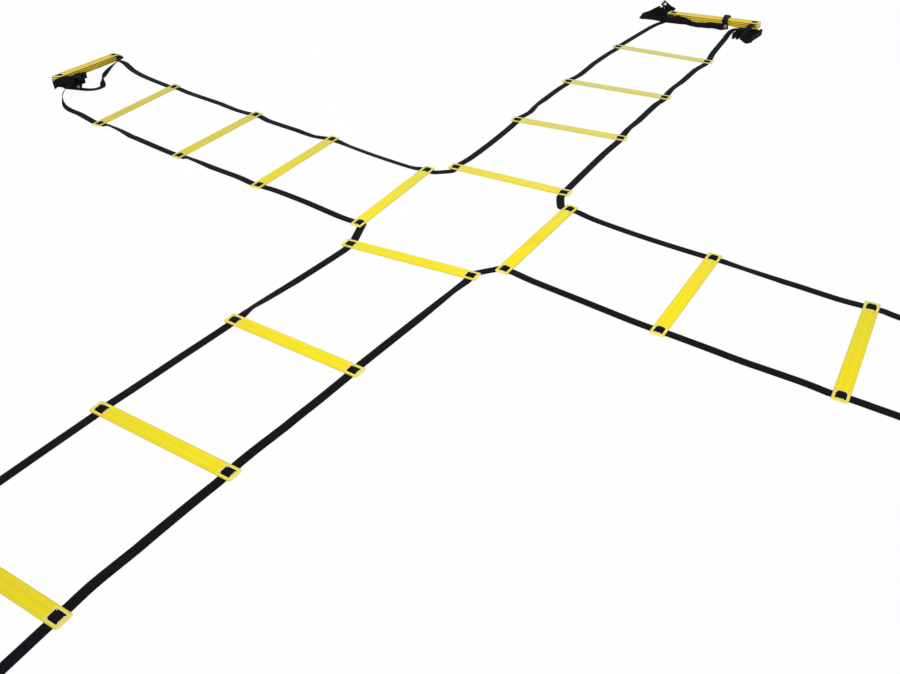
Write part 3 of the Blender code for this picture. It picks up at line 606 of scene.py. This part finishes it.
def turned_along(make, level):
    """Out of the slots in front of the stack, and round to run along the slats towards their middle."""
    turn = []
    for sine, cosine in QUARTER_TURN:
        w = RAIL - SIDE_TURN + SIDE_TURN * cosine
        turn.append(make(-0.036 - SIDE_TURN * sine, w, level, (-sine, cosine, 0)))
    return [*turn, make(-0.050, 0.155, level - 0.001, (-0.85, 0, -0.5))]


def hanging_loop(frame_here, side):
    """The doubled loop from the second slat's near side to the third's, along the front of the stack."""
    make = local(frame_here, side)
    level = OVER_SECOND_SLAT
    spine = [
        *turned_along(make, level),
        make(-0.043, 0.138, level - 0.003, (-0.4, 0, -0.9)),
        make(-0.038, 0.120, level - 0.006, (0, 0, -1)),
        make(-0.036, 0.078, level - 0.009, (0, 0, -1)),
    ]
    return doubled_back(spine, side, WEBBING_THICKNESS + FOLD_GAP, 0.0045)


def pile_end(arm, side):
    """Round the stack's lifted end, down behind it and to and fro in folds under it."""
    stack = local(stack_frame(arm), side)
    floor = local(stack_ground(arm), side)
    height = ON_EDGE + 0.0030
    line = [
        stack(-0.040, RAIL, UNDER_TOP_SLAT - 0.0004),
        stack(-0.053, 0.192, UNDER_TOP_SLAT - 0.0020, (0, 1, -0.4)),
        stack(-0.062, 0.199, 0.0160, (0, 0.4, -1)),
    ]
    round_the_end = [(-0.060, 0.2100, 0.0125), (-0.045, 0.2160, 0.0120)]
    round_the_end += [(-0.020, 0.2170, 0.0100), (-0.004, 0.2175, 0.0020)]
    behind = [(0.010, 0.216, 0.0570), (0.021, 0.206, 0.0490), (0.031, 0.190, 0.0455), (0.038, 0.165, 0.0420)]
    behind += [(0.040, 0.130, 0.0360), (0.040, 0.095, 0.0290), (0.037, 0.066, 0.0215)]
    under = [(0.026, 0.047, height + 0.002), (0.012, 0.044, height), (-0.002, 0.045, height)]
    under += [(-0.008, 0.050, height), (-0.007, 0.056, height), (-0.002, 0.058, height)]
    line += edgewise(stack, round_the_end) + edgewise(floor, behind + under)
    folds = standing_folds(floor, -0.006, 0.030, 0.058, 0.170, 11, height, rise=0.0270)
    tip = edgewise(floor, [(-0.024, 0.170, height + 0.0260), (-0.040, 0.165, height + 0.0220)])
    return line, folds, tip


def floor_loop_end(arm, side):
    """Off the low end on its edge, round in an open loop on the floor and under the other strap's folds."""
    floor = local(stack_ground(arm), side)
    line = [
        floor(-0.034, 0.186, 0.0240, (-0.2, 1, 0)),
        floor(-0.042, 0.173, 0.0235, (-0.7, 0.7, 0)),
        floor(-0.046, 0.150, 0.0215, (-0.9, 0.1, 0.4)),
        floor(-0.046, 0.110, 0.0190, (-0.7, 0, 0.8)),
        floor(-0.049, 0.070, 0.0170, (-0.4, 0, 1)),
        floor(-0.055, 0.030, 0.0155, (-0.1, 0, 1)),
        floor(-0.062, -0.012, 0.0145, (-0.3, 0, 1)),
        floor(-0.079, -0.045, 0.0095, (-1, 0.3, 0.7)),
    ]
    loop = [
        floor(-0.094, -0.070, 0.0012, (-1, 0.1, 0)),
        floor(-0.082, -0.098, 0.0012, (-0.8, -0.7, 0)),
        floor(-0.054, -0.109, 0.0012, (-0.2, -1, 0)),
        floor(-0.020, -0.108, 0.0012, (0, -1, 0)),
    ]
    tip = [
        floor(0.018, -0.106, 0.0012, (0, -1, 0)),
        floor(0.044, -0.104, 0.0016, (-0.3, -1, 0)),
        floor(0.063, -0.084, 0.0024, (-0.9, -0.5, 0)),
        floor(0.067, -0.054, 0.0026, (-1, 0, 0)),
        floor(0.066, -0.026, 0.0026, (-1, 0, 0)),
    ]
    return line, loop, tip


def wrapped_end(arm, side):
    """Down in front of the lifted end, in folds in front and under it, then up behind and over the stack."""
    stack = local(stack_frame(arm), side)
    floor = local(stack_ground(arm), side)
    height = ON_EDGE
    line = [
        stack(-0.036, RAIL, UNDER_TOP_SLAT),
        stack(-0.052, RAIL, UNDER_TOP_SLAT - WEBBING_LOW - 0.0040),
        floor(-0.066, RAIL, 0.0455),
        floor(-0.084, RAIL, 0.0385),
        floor(-0.099, RAIL, 0.0350),
    ]
    for sine, cosine in QUARTER_TURN:
        w, z = RAIL + EDGE_TURN * (1 - cosine), height + EDGE_TURN * (1 - sine)
        line.append(floor(-0.108, w, z, (0, cosine, sine)))
    in_front = [(-0.108, 0.214, height + 0.001), (-0.101, 0.222, height + 0.004)]
    in_front += [(-0.092, 0.224, height + 0.006)]
    line += edgewise(floor, in_front, UP)
    folds = standing_folds(floor, -0.086, 0.006, 0.224, 0.134, 10, height + 0.007, UP, rise=-0.007)
    tip = edgewise(floor, [(0.030, 0.134, height), (0.049, 0.126, height), (0.056, 0.105, height)], UP)
    for sine, cosine in QUARTER_TURN:
        w, z = 0.066 - EDGE_TURN * sine, height + EDGE_TURN * (1 - cosine)
        tip.append(floor(0.056, w, z, (0, -sine, cosine)))
    top = UNDER_TOP_SLAT + 2 * (SLAT_MIDDLE - WEBBING_LOW)
    over = top + WEBBING_THICKNESS / 2 + FOLD_GAP
    tip += [
        stack(0.051, 0.046, top - 0.006, (0, -1, 0)),
        stack(0.038, 0.048, over + 0.0015, (0, -1, 0)),
        stack(0.020, 0.053, over + 0.0022, (-0.2, -1, 0)),
        stack(-0.002, 0.060, over + 0.0012, (-0.2, -1, 0)),
        stack(-0.022, 0.066, over + 0.0005, (-0.2, -1, 0)),
        stack(-0.030, 0.069, top - 0.0045, (0, -1, 0)),
        stack(-0.0315, 0.071, top - 0.0120, (0, -1, -0.1)),
    ]
    return line, folds, tip


def bunch_end(arm, side):
    """Along the front of the stack and back, out in a loop, then in folds beside it, the tip on top."""
    floor = local(stack_ground(arm), side)
    height = ON_EDGE
    line = [
        *turned_along(floor, 0.0250),
        floor(-0.042, 0.138, 0.0195, (-0.4, 0, -0.9)),
        floor(-0.033, 0.120, 0.0150, (0, 0, -1)),
    ]
    # along the front and back again: w, the lean and the height of the strap's middle
    towards_far_end = [(0.098, 1.4, 0.001), (0.073, 1.8, 0.004), (0.050, 1.3, 0.010), (0.022, 1.6, 0.014)]
    towards_far_end += [(-0.005, 0.9, 0.018), (-0.032, 1.2, 0.020), (-0.054, 0.4, 0.021)]
    back_again = [(-0.046, 0.7, 0.020), (-0.020, 1.3, 0.018), (0.008, 1.0, 0.014), (0.036, 1.6, 0.010)]
    back_again += [(0.062, 1.2, 0.004), (0.085, 1.5, 0.001), (0.110, 0.6, 0.001)]
    line += [floor(-0.027, w, z, (-lean, 0, -1)) for w, lean, z in towards_far_end]
    line += edgewise(floor, [(-0.031, -0.063, 0.021), (-0.036, -0.062, 0.021)])
    line += [floor(-0.035, w, z, (-lean, 0, -1)) for w, lean, z in back_again]
    out_of_the_stack = [(-0.055, 0.140, height + 0.001), (-0.069, 0.175, height + 0.002)]
    out_of_the_stack += [(-0.068, 0.215, height), (-0.068, 0.250, height)]
    line += edgewise(floor, out_of_the_stack)
    line += [
        floor(-0.074, 0.284, height - 0.001, (-0.3, 0, -1)),
        floor(-0.081, 0.304, height - 0.003, (-0.6, 0.2, -1)),
        floor(-0.075, 0.314, height - 0.004, (0, 0.7, -1)),
        floor(-0.062, 0.312, height - 0.003, (0.5, 0.3, -1)),
        floor(-0.046, 0.301, height - 0.001, (0.2, 0, -1)),
        floor(-0.028, 0.2965, height, (0, 0, -1)),
    ]
    folds = standing_folds(floor, -0.012, 0.050, 0.296, 0.222, 8, height)
    tip = [
        floor(0.052, 0.220, height + 0.001, (0, 0, -1)),
        floor(0.057, 0.225, height + 0.005, (-0.2, 0, -1)),
        floor(0.046, 0.236, height + 0.013, (-0.3, 0, -1)),
        floor(0.042, 0.250, height + 0.0225, (-0.35, 0, -1)),
    ]
    return line, folds, tip


# How the strap ends on the left, 1, and on the right, -1, of each arm. The two arms whose ends are out of the
# picture end like the two in it
ENDS = {"a": {1: pile_end, -1: floor_loop_end}, "b": {1: bunch_end, -1: wrapped_end}}
ENDS.update(c=ENDS["b"], d=ENDS["a"])

# How far out from a stacked slat's middle the strap turns back to the next slat
PAST_SLAT_EDGE = 0.0215


def u_turn(frame_here, side, along, low, high):
    """A tight turn just past the stack's edge, from one slat up to the next."""
    make = local(frame_here, side)
    radius = (high - low) / 2
    return [
        make(along + math.copysign(radius, along) * cosine, RAIL, low + radius * (1 + sine))
        for sine, cosine in HALF_TURN
    ]


def through_stack(arm, side):
    """The strap to and fro through the stacked slats, of which the second lies face down."""
    base = stack_frame(arm)
    first, second, third, fourth = (
        woven_pass(stack_frame(arm, layer), side, flipped=layer == 1, inwards=layer % 2 == 1)
        for layer in range(STACK_SLATS)
    )
    under_third = 2 * STACK_PITCH + WEBBING_LOW
    stations = first[:-1] + u_turn(base, side, PAST_SLAT_EDGE, WEBBING_LOW, OVER_SECOND_SLAT)
    if ENDS[arm][side] is pile_end:
        stations += second[1:] + hanging_loop(base, side) + third[:-1]
    else:
        turn = u_turn(base, side, -PAST_SLAT_EDGE, OVER_SECOND_SLAT, under_third)
        stations += second[1:-1] + turn + third[1:-1]
    return stations + u_turn(base, side, PAST_SLAT_EDGE, under_third, UNDER_TOP_SLAT) + fourth[1:]


def way_up(arm, side):
    """Places that the strap passes on its way from the fourth slat to the stack."""
    floor = local(stack_ground(arm), side)
    stack = local(stack_frame(arm), side)
    end = ENDS[arm][side]
    if end is pile_end:
        return [
            floor(-0.150, 0.330, 0.0012, (0.4, 0.9, 0)),
            floor(-0.098, 0.306, 0.0020, (0.1, 1, 0)),
            floor(-0.066, 0.288, 0.0090, (-0.2, 1, 0.1)),
            floor(-0.050, 0.270, 0.0260, (-0.5, 0.85, 0.1)),
            floor(-0.045, 0.252, 0.0440, (-0.5, 0.8, 0)),
            floor(-0.050, 0.230, 0.0570, (-0.4, 0.8, 0.3)),
            stack(-0.053, 0.206, -0.0010, (-0.3, 0.95, 0.1)),
            stack(-0.043, 0.194, WEBBING_LOW),
        ]
    if end is wrapped_end:
        return [
            floor(-0.300, 0.152, 0.0012),
            floor(-0.180, 0.127, 0.0012),
            floor(-0.112, 0.115, 0.0040),
            floor(-0.080, 0.116, 0.0190, (-0.1, 1, 0)),
            floor(-0.060, 0.128, 0.0300, (-0.5, 0.9, 0)),
            floor(-0.045, 0.162, 0.0335, (-0.5, 0.9, 0)),
        ]
    if end is bunch_end:
        return [floor(-0.169, 0.213, 0.0012), floor(-0.085, 0.206, 0.0012)]
    return [floor(-0.216, 0.050, 0.0012), floor(-0.124, 0.114, 0.0012), floor(-0.062, 0.172, 0.0020)]


def to_the_tip(arm, side):
    """From the second fold line through the fourth slat and the stack to the strap's tip."""
    outer = woven_pass(slat_frame(arm, 3), side)
    stack = through_stack(arm, side)
    stations = joined([fold_stretch(arm, 2, side, 1), outer], [along_bay(arm, 2, side, (0.5, 1))])
    stations += run_between(outer, stack, 2, way_up(arm, side)) + stack
    line, folds, tip = ENDS[arm][side](arm, side)
    stations += run_between(stack, folds, 2, line) + folds
    stations += smooth([folds[-2], folds[-1], *tip], 2)[3:]
    stations = [off_the_ground(*each) for each in stations]
    (before, _), (last, across) = stations[-2:]
    return [*stations, (last + (last - before).normalized() * TIP_LENGTH, across)]


# The straps laid, with each gathered end fixed to the end of its arm. A strap is a woven tube pressed flat,
# with a firm rounded selvedge on each side, and its cut tips are sealed by heat.

HALF, THIN, SELVEDGE = WEBBING_WIDTH / 2, WEBBING_THICKNESS / 2, 0.0006
OUTLINE = [(-HALF, 0), (-HALF + SELVEDGE, THIN), (-HALF / 2, THIN)]
OUTLINE += [(0, THIN), (HALF / 2, THIN), (HALF - SELVEDGE, THIN)]
OUTLINE += [(-x, -y) for x, y in OUTLINE]

# Ribs of black thread run along the strap, and in every other rib the stitches lie half a row on
WEBBING_RIBS, RIB_ROW = 15, 0.0024
# The deepest black, between the stitches, is painted shade in the hollows
STITCH_GAP_SHADE, THREAD_BLACK = (0.0020, 0.0018, 0.0030), (0.0068, 0.0060, 0.0098)
WORN_BLACK, SELVEDGE_BLACK = (0.0115, 0.0104, 0.0150), (0.0070, 0.0065, 0.0095)
SELVEDGE_BAND = (0.0011, 0.0006)

webbing_finish, shader, place = new_finish("strap_webbing_finish")
own_map = place.node("ShaderNodeUVMap", {"uv_map": "UVMap"})
across, along = own_map.parts()
column = across * (WEBBING_RIBS / WEBBING_WIDTH)
every_other = column.math("FLOOR") - (column * 0.5).math("FLOOR") * 2.0
row = along * (1 / RIB_ROW) + every_other * 0.5
bulge = (column.math("FRACT") * math.pi).math("SINE")
length = (row.math("FRACT") * math.pi).math("SINE")
crown = bulge * length
wear = place.noise(26.0, 3.0).fade(0.45, 0.75)
fuzz = place.noise(1400.0, 2.0)
# Painted shade: darker in the hollows between stitches, the thread's own black on the crowns
colour = crown.fade(0.05, 0.85).mix(STITCH_GAP_SHADE, THREAD_BLACK)
colour = (wear * 0.30).mix(colour, WORN_BLACK)
selvedge = abs(across - HALF).fade(*(HALF - inset for inset in SELVEDGE_BAND))
colour = (selvedge * 0.5).mix(colour, SELVEDGE_BLACK)
roughness = 0.70 + fuzz * 0.20 + selvedge * 0.04
relief = crown + fuzz * 0.12
connect(shader, Base_Color=colour, Roughness=roughness, Normal=relief.bump(0.6, 0.00030))
shader.inputs["Specular IOR Level"].default_value = 0.06
shader.inputs["Sheen Weight"].default_value = 0.02
shader.inputs["Sheen Roughness"].default_value = 0.5
shader.inputs["Sheen Tint"].default_value = (0.5, 0.48, 0.6, 1)


LONGEST_STEP = 0.009
AT_A_STATION = 0.0004


def rounded(stations):
    """The line through the stations with its bends rounded off, in short steps."""
    count = len(stations)
    points = [point for point, _ in stations]
    reach = [(after - before).length for before, after in zip(points, points[1:])]
    leads = []
    for i in range(count):
        before, after = max(i - 1, 0), min(i + 1, count - 1)
        step = min(reach[max(i - 1, 0)], reach[min(i, count - 2)])
        leads.append((points[after] - points[before]).normalized() * step)
    result = [stations[0]]
    for i, apart in enumerate(reach):
        if apart < 1e-5:
            continue
        steps = max(2, math.ceil(apart / LONGEST_STEP))
        for step in range(1, steps + 1):
            t = step / steps
            point = (
                points[i] * (2 * t**3 - 3 * t**2 + 1)
                + leads[i] * (t**3 - 2 * t**2 + t)
                + points[i + 1] * (3 * t**2 - 2 * t**3)
                + leads[i + 1] * (t**3 - t**2)
            )
            heading = (
                (points[i + 1] - points[i]) * (6 * t - 6 * t**2)
                + leads[i] * (3 * t**2 - 4 * t + 1)
                + leads[i + 1] * (3 * t**2 - 2 * t)
            ).normalized()
            across = stations[i][1].lerp(stations[i + 1][1], t * t * (3 - 2 * t))
            across -= heading * across.dot(heading)
            result.append((point, across.normalized()))
    return result


def cut_at(line, target):
    """Puts a station on the line at its nearest place to the target, unless one is there already."""
    nearest, best = None, math.inf
    for i, ((point, _), (after, _)) in enumerate(zip(line, line[1:])):
        run = after - point
        t = min(1.0, max(0.0, (target - point).dot(run) / run.length_squared))
        away = (point + run * t - target).length
        if away < best:
            nearest, best = (i, t), away
    i, t = nearest
    (point, across), (after, next_across) = line[i], line[i + 1]
    if min(t, 1 - t) * (after - point).length >= AT_A_STATION:
        line.insert(i + 1, (point.lerp(after, t), across.lerp(next_across, t).normalized()))


def nearest_index(line, target):
    """The index of the line's station that is nearest to the target."""
    return min(range(len(line)), key=lambda i: (line[i][0] - target).length_squared)


def weave_piece(name, stations, start_length):
    """A strap's piece: a grid wrapped into a flat tube along the stations and closed at its ends."""
    rings, sides = len(stations), len(OUTLINE)
    bpy.ops.object.select_all(action="DESELECT")
    bpy.ops.mesh.primitive_grid_add(x_subdivisions=sides, y_subdivisions=rings - 1, size=1)
    piece = bpy.context.active_object
    piece.name = name
    mesh = piece.data
    lengths = [start_length]
    for (before, _), (after, _) in zip(stations, stations[1:]):
        lengths.append(lengths[-1] + (after - before).length)
    points = [point for point, _ in stations]
    maps = {}
    for vertex in mesh.vertices:
        column = round((vertex.co.x + 0.5) * sides)
        ring = round((vertex.co.y + 0.5) * (rings - 1))
        heading = points[min(ring + 1, rings - 1)] - points[max(ring - 1, 0)]
        across = stations[ring][1]
        across = (across - heading * (across.dot(heading) / heading.length_squared)).normalized()
        thick = heading.normalized().cross(across)
        x, y = OUTLINE[column % sides]
        vertex.co = points[ring] + across * x + thick * y
        maps[vertex.index] = (x + HALF, lengths[ring])
    for loop in mesh.loops:
        mesh.uv_layers.active.data[loop.index].uv = maps[loop.vertex_index]
    bpy.ops.object.mode_set(mode="EDIT")
    bpy.ops.mesh.select_all(action="SELECT")
    bpy.ops.mesh.remove_doubles(threshold=0.00002)
    bpy.ops.mesh.fill_holes(sides=0)
    bpy.ops.mesh.normals_make_consistent(inside=False)
    bpy.ops.object.mode_set(mode="OBJECT")
    bpy.ops.object.shade_smooth_by_angle(angle=math.radians(60))
    mesh.materials.append(webbing_finish)
    return piece


# Where the strap is cut and where it bends, as distances from a slat's middle or from a fold line: the cut
# under each slat, the ends of the stretch that a slat takes with it, the start of the loose strap past the
# fourth slat, and the bends at the two folds
UNDER_SLAT, SLAT_HOLD, LOOSE = 0.0155, 0.020, 0.200
FOLD_UP_BEND, FOLD_BACK_BEND = 0.015, 0.005

tips = {}
for left_arm, right_arm in (("d", "b"), ("b", "a"), ("a", "c"), ("c", "d")):
    corner_node = f"corner_strap_{left_arm}{right_arm}"
    stations = to_the_tip(left_arm, 1)[::-1] + middle(left_arm, 1)[::-1] + corner(left_arm, right_arm)
    stations += middle(right_arm, -1) + to_the_tip(right_arm, -1)
    line = [off_the_ground(*each) for each in rounded(stations)]
    turn = corner(left_arm, right_arm)
    turn = turn[len(turn) // 2][0]
    plan = []
    for arm, side, side_name, tip_index in ((left_arm, 1, "left", 0), (right_arm, -1, "right", -1)):
        end_node = f"end_strap_{arm}_{side_name}"
        middle_node = f"middle_strap_{arm}_{side_name}"
        mid, end = f"arm_{arm}_middle", f"arm_{arm}_end"
        slats = [f"slat_{arm}{number + 1}" for number in range(4)]
        rail = Vector((0, side * RAIL, WEBBING_LOW))
        under, inner, outer = (
            [slat_frame(arm, number) @ (rail + Vector((distance, 0, 0))) for number in range(4)]
            for distance in (-UNDER_SLAT, -SLAT_HOLD, SLAT_HOLD)
        )
        halfway = (slat_frame(arm, 0) @ rail).lerp(slat_frame(arm, 1) @ rail, 0.5)
        up_in, up_out, back_in, back_out = (
            on_fold(arm, inner_slat, side, distance)[0]
            for inner_slat, bend in ((1, FOLD_UP_BEND), (2, FOLD_BACK_BEND))
            for distance in (-bend, bend)
        )
        loose = slat_frame(arm, 3) @ (rail + Vector((LOOSE, 0, 0)))
        # each piece's cuts, the nodes that it stands for, and its body or the two bodies with its bend
        pieces = [
            ("corner", turn, under[0], [corner_node], "centre", slats[0], turn, inner[0]),
            ("slat1", under[0], halfway, [corner_node], slats[0], "centre", outer[0], halfway),
            ("to_slat2", halfway, under[1], [corner_node], "centre", slats[1], halfway, inner[1]),
            ("slat2", under[1], up_in, [corner_node], slats[1], "centre", outer[1], up_in),
            ("fold_up", up_in, up_out, [corner_node, middle_node], "centre", mid, up_in, up_out),
            ("to_slat3", up_out, under[2], [middle_node], mid, slats[2], up_out, inner[2]),
            ("slat3", under[2], back_in, [middle_node], slats[2], mid, outer[2], back_in),
            ("fold_back", back_in, back_out, [middle_node, end_node], mid, end, back_in, back_out),
            ("to_slat4", back_out, under[3], [end_node], end, slats[3], back_out, inner[3]),
            ("slat4", under[3], loose, [end_node], slats[3], end, outer[3], loose),
            ("gathered", loose, line[tip_index][0], [end_node], end),
        ]
        plan += [(f"webbing_{arm}_{side_name}_{what}", *rest) for what, *rest in pieces]
        tips[arm, side_name] = stations[0:2][::-1] if side > 0 else stations[-2:]
    for _, start, finish, *_ in plan:
        cut_at(line, start)
        cut_at(line, finish)
    measured = [0.0]
    for (before, _), (after, _) in zip(line, line[1:]):
        measured.append(measured[-1] + (after - before).length)
    for name, start, finish, nodes, first_body, *bend in plan:
        low, high = sorted((nearest_index(line, start), nearest_index(line, finish)))
        piece = weave_piece(name, line[low : high + 1], measured[low])
        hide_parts(*nodes)
        if not bend:
            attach(piece, first_body)
            continue
        second_body, bend_start, bend_end = bend
        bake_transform(piece)
        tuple(bend_start)
        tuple(bend_end)


# The press studs, one near each strap's tip, which join one ladder to the next. Each is a domed cap of plated
# metal with a rolled rim, on a post pressed through the webbing into a flat base.

CAP_RADIUS, POST_RADIUS, BASE_RADIUS = 0.0075, 0.0024, 0.0055
UNDER_CAP = WEBBING_THICKNESS / 2 + PLAY
STUD_OUTLINE = [
    (0.0, UNDER_CAP + 0.0016),
    (0.0030, UNDER_CAP + 0.00152),
    (0.0050, UNDER_CAP + 0.00128),
    (0.0062, UNDER_CAP + 0.00098),
    (0.0068, UNDER_CAP + 0.00092),
    (0.0072, UNDER_CAP + 0.00078),
    (CAP_RADIUS, UNDER_CAP + 0.00045),
    (CAP_RADIUS - 0.0001, UNDER_CAP + 0.0001),
    (CAP_RADIUS - 0.0005, UNDER_CAP),
    (POST_RADIUS, UNDER_CAP),
    (POST_RADIUS, -UNDER_CAP),
    (BASE_RADIUS - 0.0003, -UNDER_CAP),
    (BASE_RADIUS, -UNDER_CAP - 0.0002),
    (BASE_RADIUS - 0.0002, -UNDER_CAP - 0.0006),
    (BASE_RADIUS - 0.0007, -UNDER_CAP - 0.0007),
    (0.0, -UNDER_CAP - 0.0007),
]

bpy.ops.object.select_all(action="DESELECT")
bpy.ops.mesh.primitive_circle_add(vertices=len(STUD_OUTLINE), radius=0.01, fill_type="NOTHING")
plain_stud = bpy.context.active_object
for vertex, (radius, height) in zip(plain_stud.data.vertices, STUD_OUTLINE):
    vertex.co = (radius, 0, height)
closing = {0, len(STUD_OUTLINE) - 1}
for edge in plain_stud.data.edges:
    edge.select = set(edge.vertices) == closing
bpy.context.tool_settings.mesh_select_mode = (False, True, False)
bpy.ops.object.mode_set(mode="EDIT")
bpy.ops.mesh.delete(type="EDGE")
bpy.ops.mesh.select_all(action="SELECT")
bpy.ops.mesh.spin(steps=40, angle=math.tau, center=(0, 0, 0), axis=(0, 0, 1))
bpy.ops.mesh.select_all(action="SELECT")
bpy.ops.mesh.remove_doubles(threshold=0.00001)
bpy.ops.mesh.normals_make_consistent(inside=False)
bpy.ops.object.mode_set(mode="OBJECT")
bpy.ops.object.shade_smooth_by_angle(angle=math.radians(35))

PLATING, TARNISH = (0.20, 0.197, 0.188), (0.13, 0.128, 0.122)
stud_finish, shader, place = new_finish("stud_metal_finish")
clouds = place.noise(420.0, 3.0)
scratches = place.noise(2600.0, 2.0)
colour = clouds.fade(0.45, 0.70).mix(PLATING, TARNISH)
roughness = 0.22 + clouds * 0.18 + scratches * 0.06
connect(shader, Base_Color=colour, Roughness=roughness, Normal=scratches.bump(0.12, 0.0001))
shader.inputs["Metallic"].default_value = 1.0
plain_stud.data.materials.append(stud_finish)

for (arm, side_name), ((before, _), (tip, across)) in tips.items():
    back = (before - tip).normalized()
    facing = across.cross(back)
    if facing.z < 0:
        facing.negate()
    turned = facing.to_track_quat("Z", "Y").to_matrix().to_4x4()
    stud = plain_stud.copy()
    stud.data = plain_stud.data.copy()
    stud.name = f"press_stud_{arm}_{side_name}_metal"
    stud.data.transform(Matrix.Translation(tip + back * TIP_LENGTH / 2) @ turned)
    bpy.context.scene.collection.objects.link(stud)
    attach(stud, f"arm_{arm}_end")
    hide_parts(f"press_stud_{arm}_{side_name}")
bpy.data.objects.remove(plain_stud)


# The floor is a plain white sweep. Where it is seen, also in a reflection or through something clear, it
# mostly glows white, and a little of it takes light, so that the ladder's soft shadow still shows on it.

FLOOR_SIZE, FLOOR_DEPTH, FLOOR_GLOW = 60, 0.0006, 0.94


def sees_background(tree):
    """1 for the rays that show the background: straight from the camera, in a reflection or through glass."""
    rays = tree.nodes.new("ShaderNodeLightPath")
    straight, mirrored, through = (
        Wire(tree, rays.outputs[f"Is {kind} Ray"]) for kind in ("Camera", "Glossy", "Transmission")
    )
    return straight.math("MAXIMUM", mirrored).math("MAXIMUM", through)


bpy.ops.object.select_all(action="DESELECT")
bpy.ops.mesh.primitive_plane_add(size=FLOOR_SIZE, location=(0, 0, -FLOOR_DEPTH))
floor = bpy.context.active_object
floor.name = "floor"
floor_finish = bpy.data.materials.new("white_floor")
floor_finish.use_nodes = True
tree = floor_finish.node_tree
tree.nodes.remove(tree.nodes["Principled BSDF"])
seen = sees_background(tree)
lit = seen.node("ShaderNodeBsdfDiffuse", inputs={"Color": (0.9, 0.9, 0.9, 1)})
glow = seen.node("ShaderNodeEmission", inputs={"Color": (1, 1, 1, 1), "Strength": 1.0})
mixed = seen.node("ShaderNodeMixShader", inputs={0: seen * FLOOR_GLOW, 1: lit, 2: glow})
tree.links.new(mixed.socket, tree.nodes["Material Output"].inputs["Surface"])
floor.data.materials.append(floor_finish)


# The studio: a pale sky all round, one wide soft lamp high over the ladder, and a weak low light, as from a
# window, that reaches the sides turned to the camera.

SKY_LIGHT = 0.60

world = bpy.data.worlds.new("studio")
bpy.context.scene.world = world
world.use_nodes = True
background = world.node_tree.nodes["Background"]
background.inputs["Color"].default_value = (1, 1, 1, 1)
sky = SKY_LIGHT + sees_background(world.node_tree) * (1 - SKY_LIGHT)
world.node_tree.links.new(sky.socket, background.inputs["Strength"])


def hang_lamp(lamp, matrix):
    """Puts this light in the scene."""
    lamp_object = bpy.data.objects.new(lamp.name, lamp)
    lamp_object.matrix_world = matrix
    bpy.context.scene.collection.objects.link(lamp_object)


wide_lamp = bpy.data.lights.new("wide_lamp", "AREA")
wide_lamp.shape = "DISK"
wide_lamp.size = 5.0
wide_lamp.energy = 76.0
hang_lamp(wide_lamp, Matrix.Translation((-0.8, 0.6, 4.5)))

LOW_LIGHT_HEADING, LOW_LIGHT_TILT = 30, 68
low_light = bpy.data.lights.new("low_window_light", "SUN")
low_light.energy = 1.3
low_light.angle = math.radians(25)
low_turn = Matrix.Rotation(math.radians(LOW_LIGHT_HEADING), 4, "Z")
hang_lamp(low_light, low_turn @ Matrix.Rotation(math.radians(LOW_LIGHT_TILT), 4, "X"))


# The camera stands a little over head height past the near right-hand quarter of the cross and looks down
# across it.

CAMERA_PLACE = (1.2238, -1.9296, 1.3210)
CAMERA_HEADING, CAMERA_TILT, CAMERA_ROLL = 34.222, 52.305, -1.586

camera = bpy.data.cameras.new("camera")
camera.lens = 35.265
camera.sensor_width = 36.0
camera.clip_start = 0.05
camera.clip_end = 60.0
camera_object = bpy.data.objects.new("camera", camera)
turned = Matrix.Rotation(math.radians(CAMERA_HEADING), 4, "Z")
turned = turned @ Matrix.Rotation(math.radians(CAMERA_TILT), 4, "X")
turned = turned @ Matrix.Rotation(math.radians(CAMERA_ROLL), 4, "Z")
camera_object.matrix_world = Matrix.Translation(CAMERA_PLACE) @ turned
bpy.context.scene.collection.objects.link(camera_object)
bpy.context.scene.camera = camera_object
bpy.context.scene.view_settings.view_transform = "Standard"
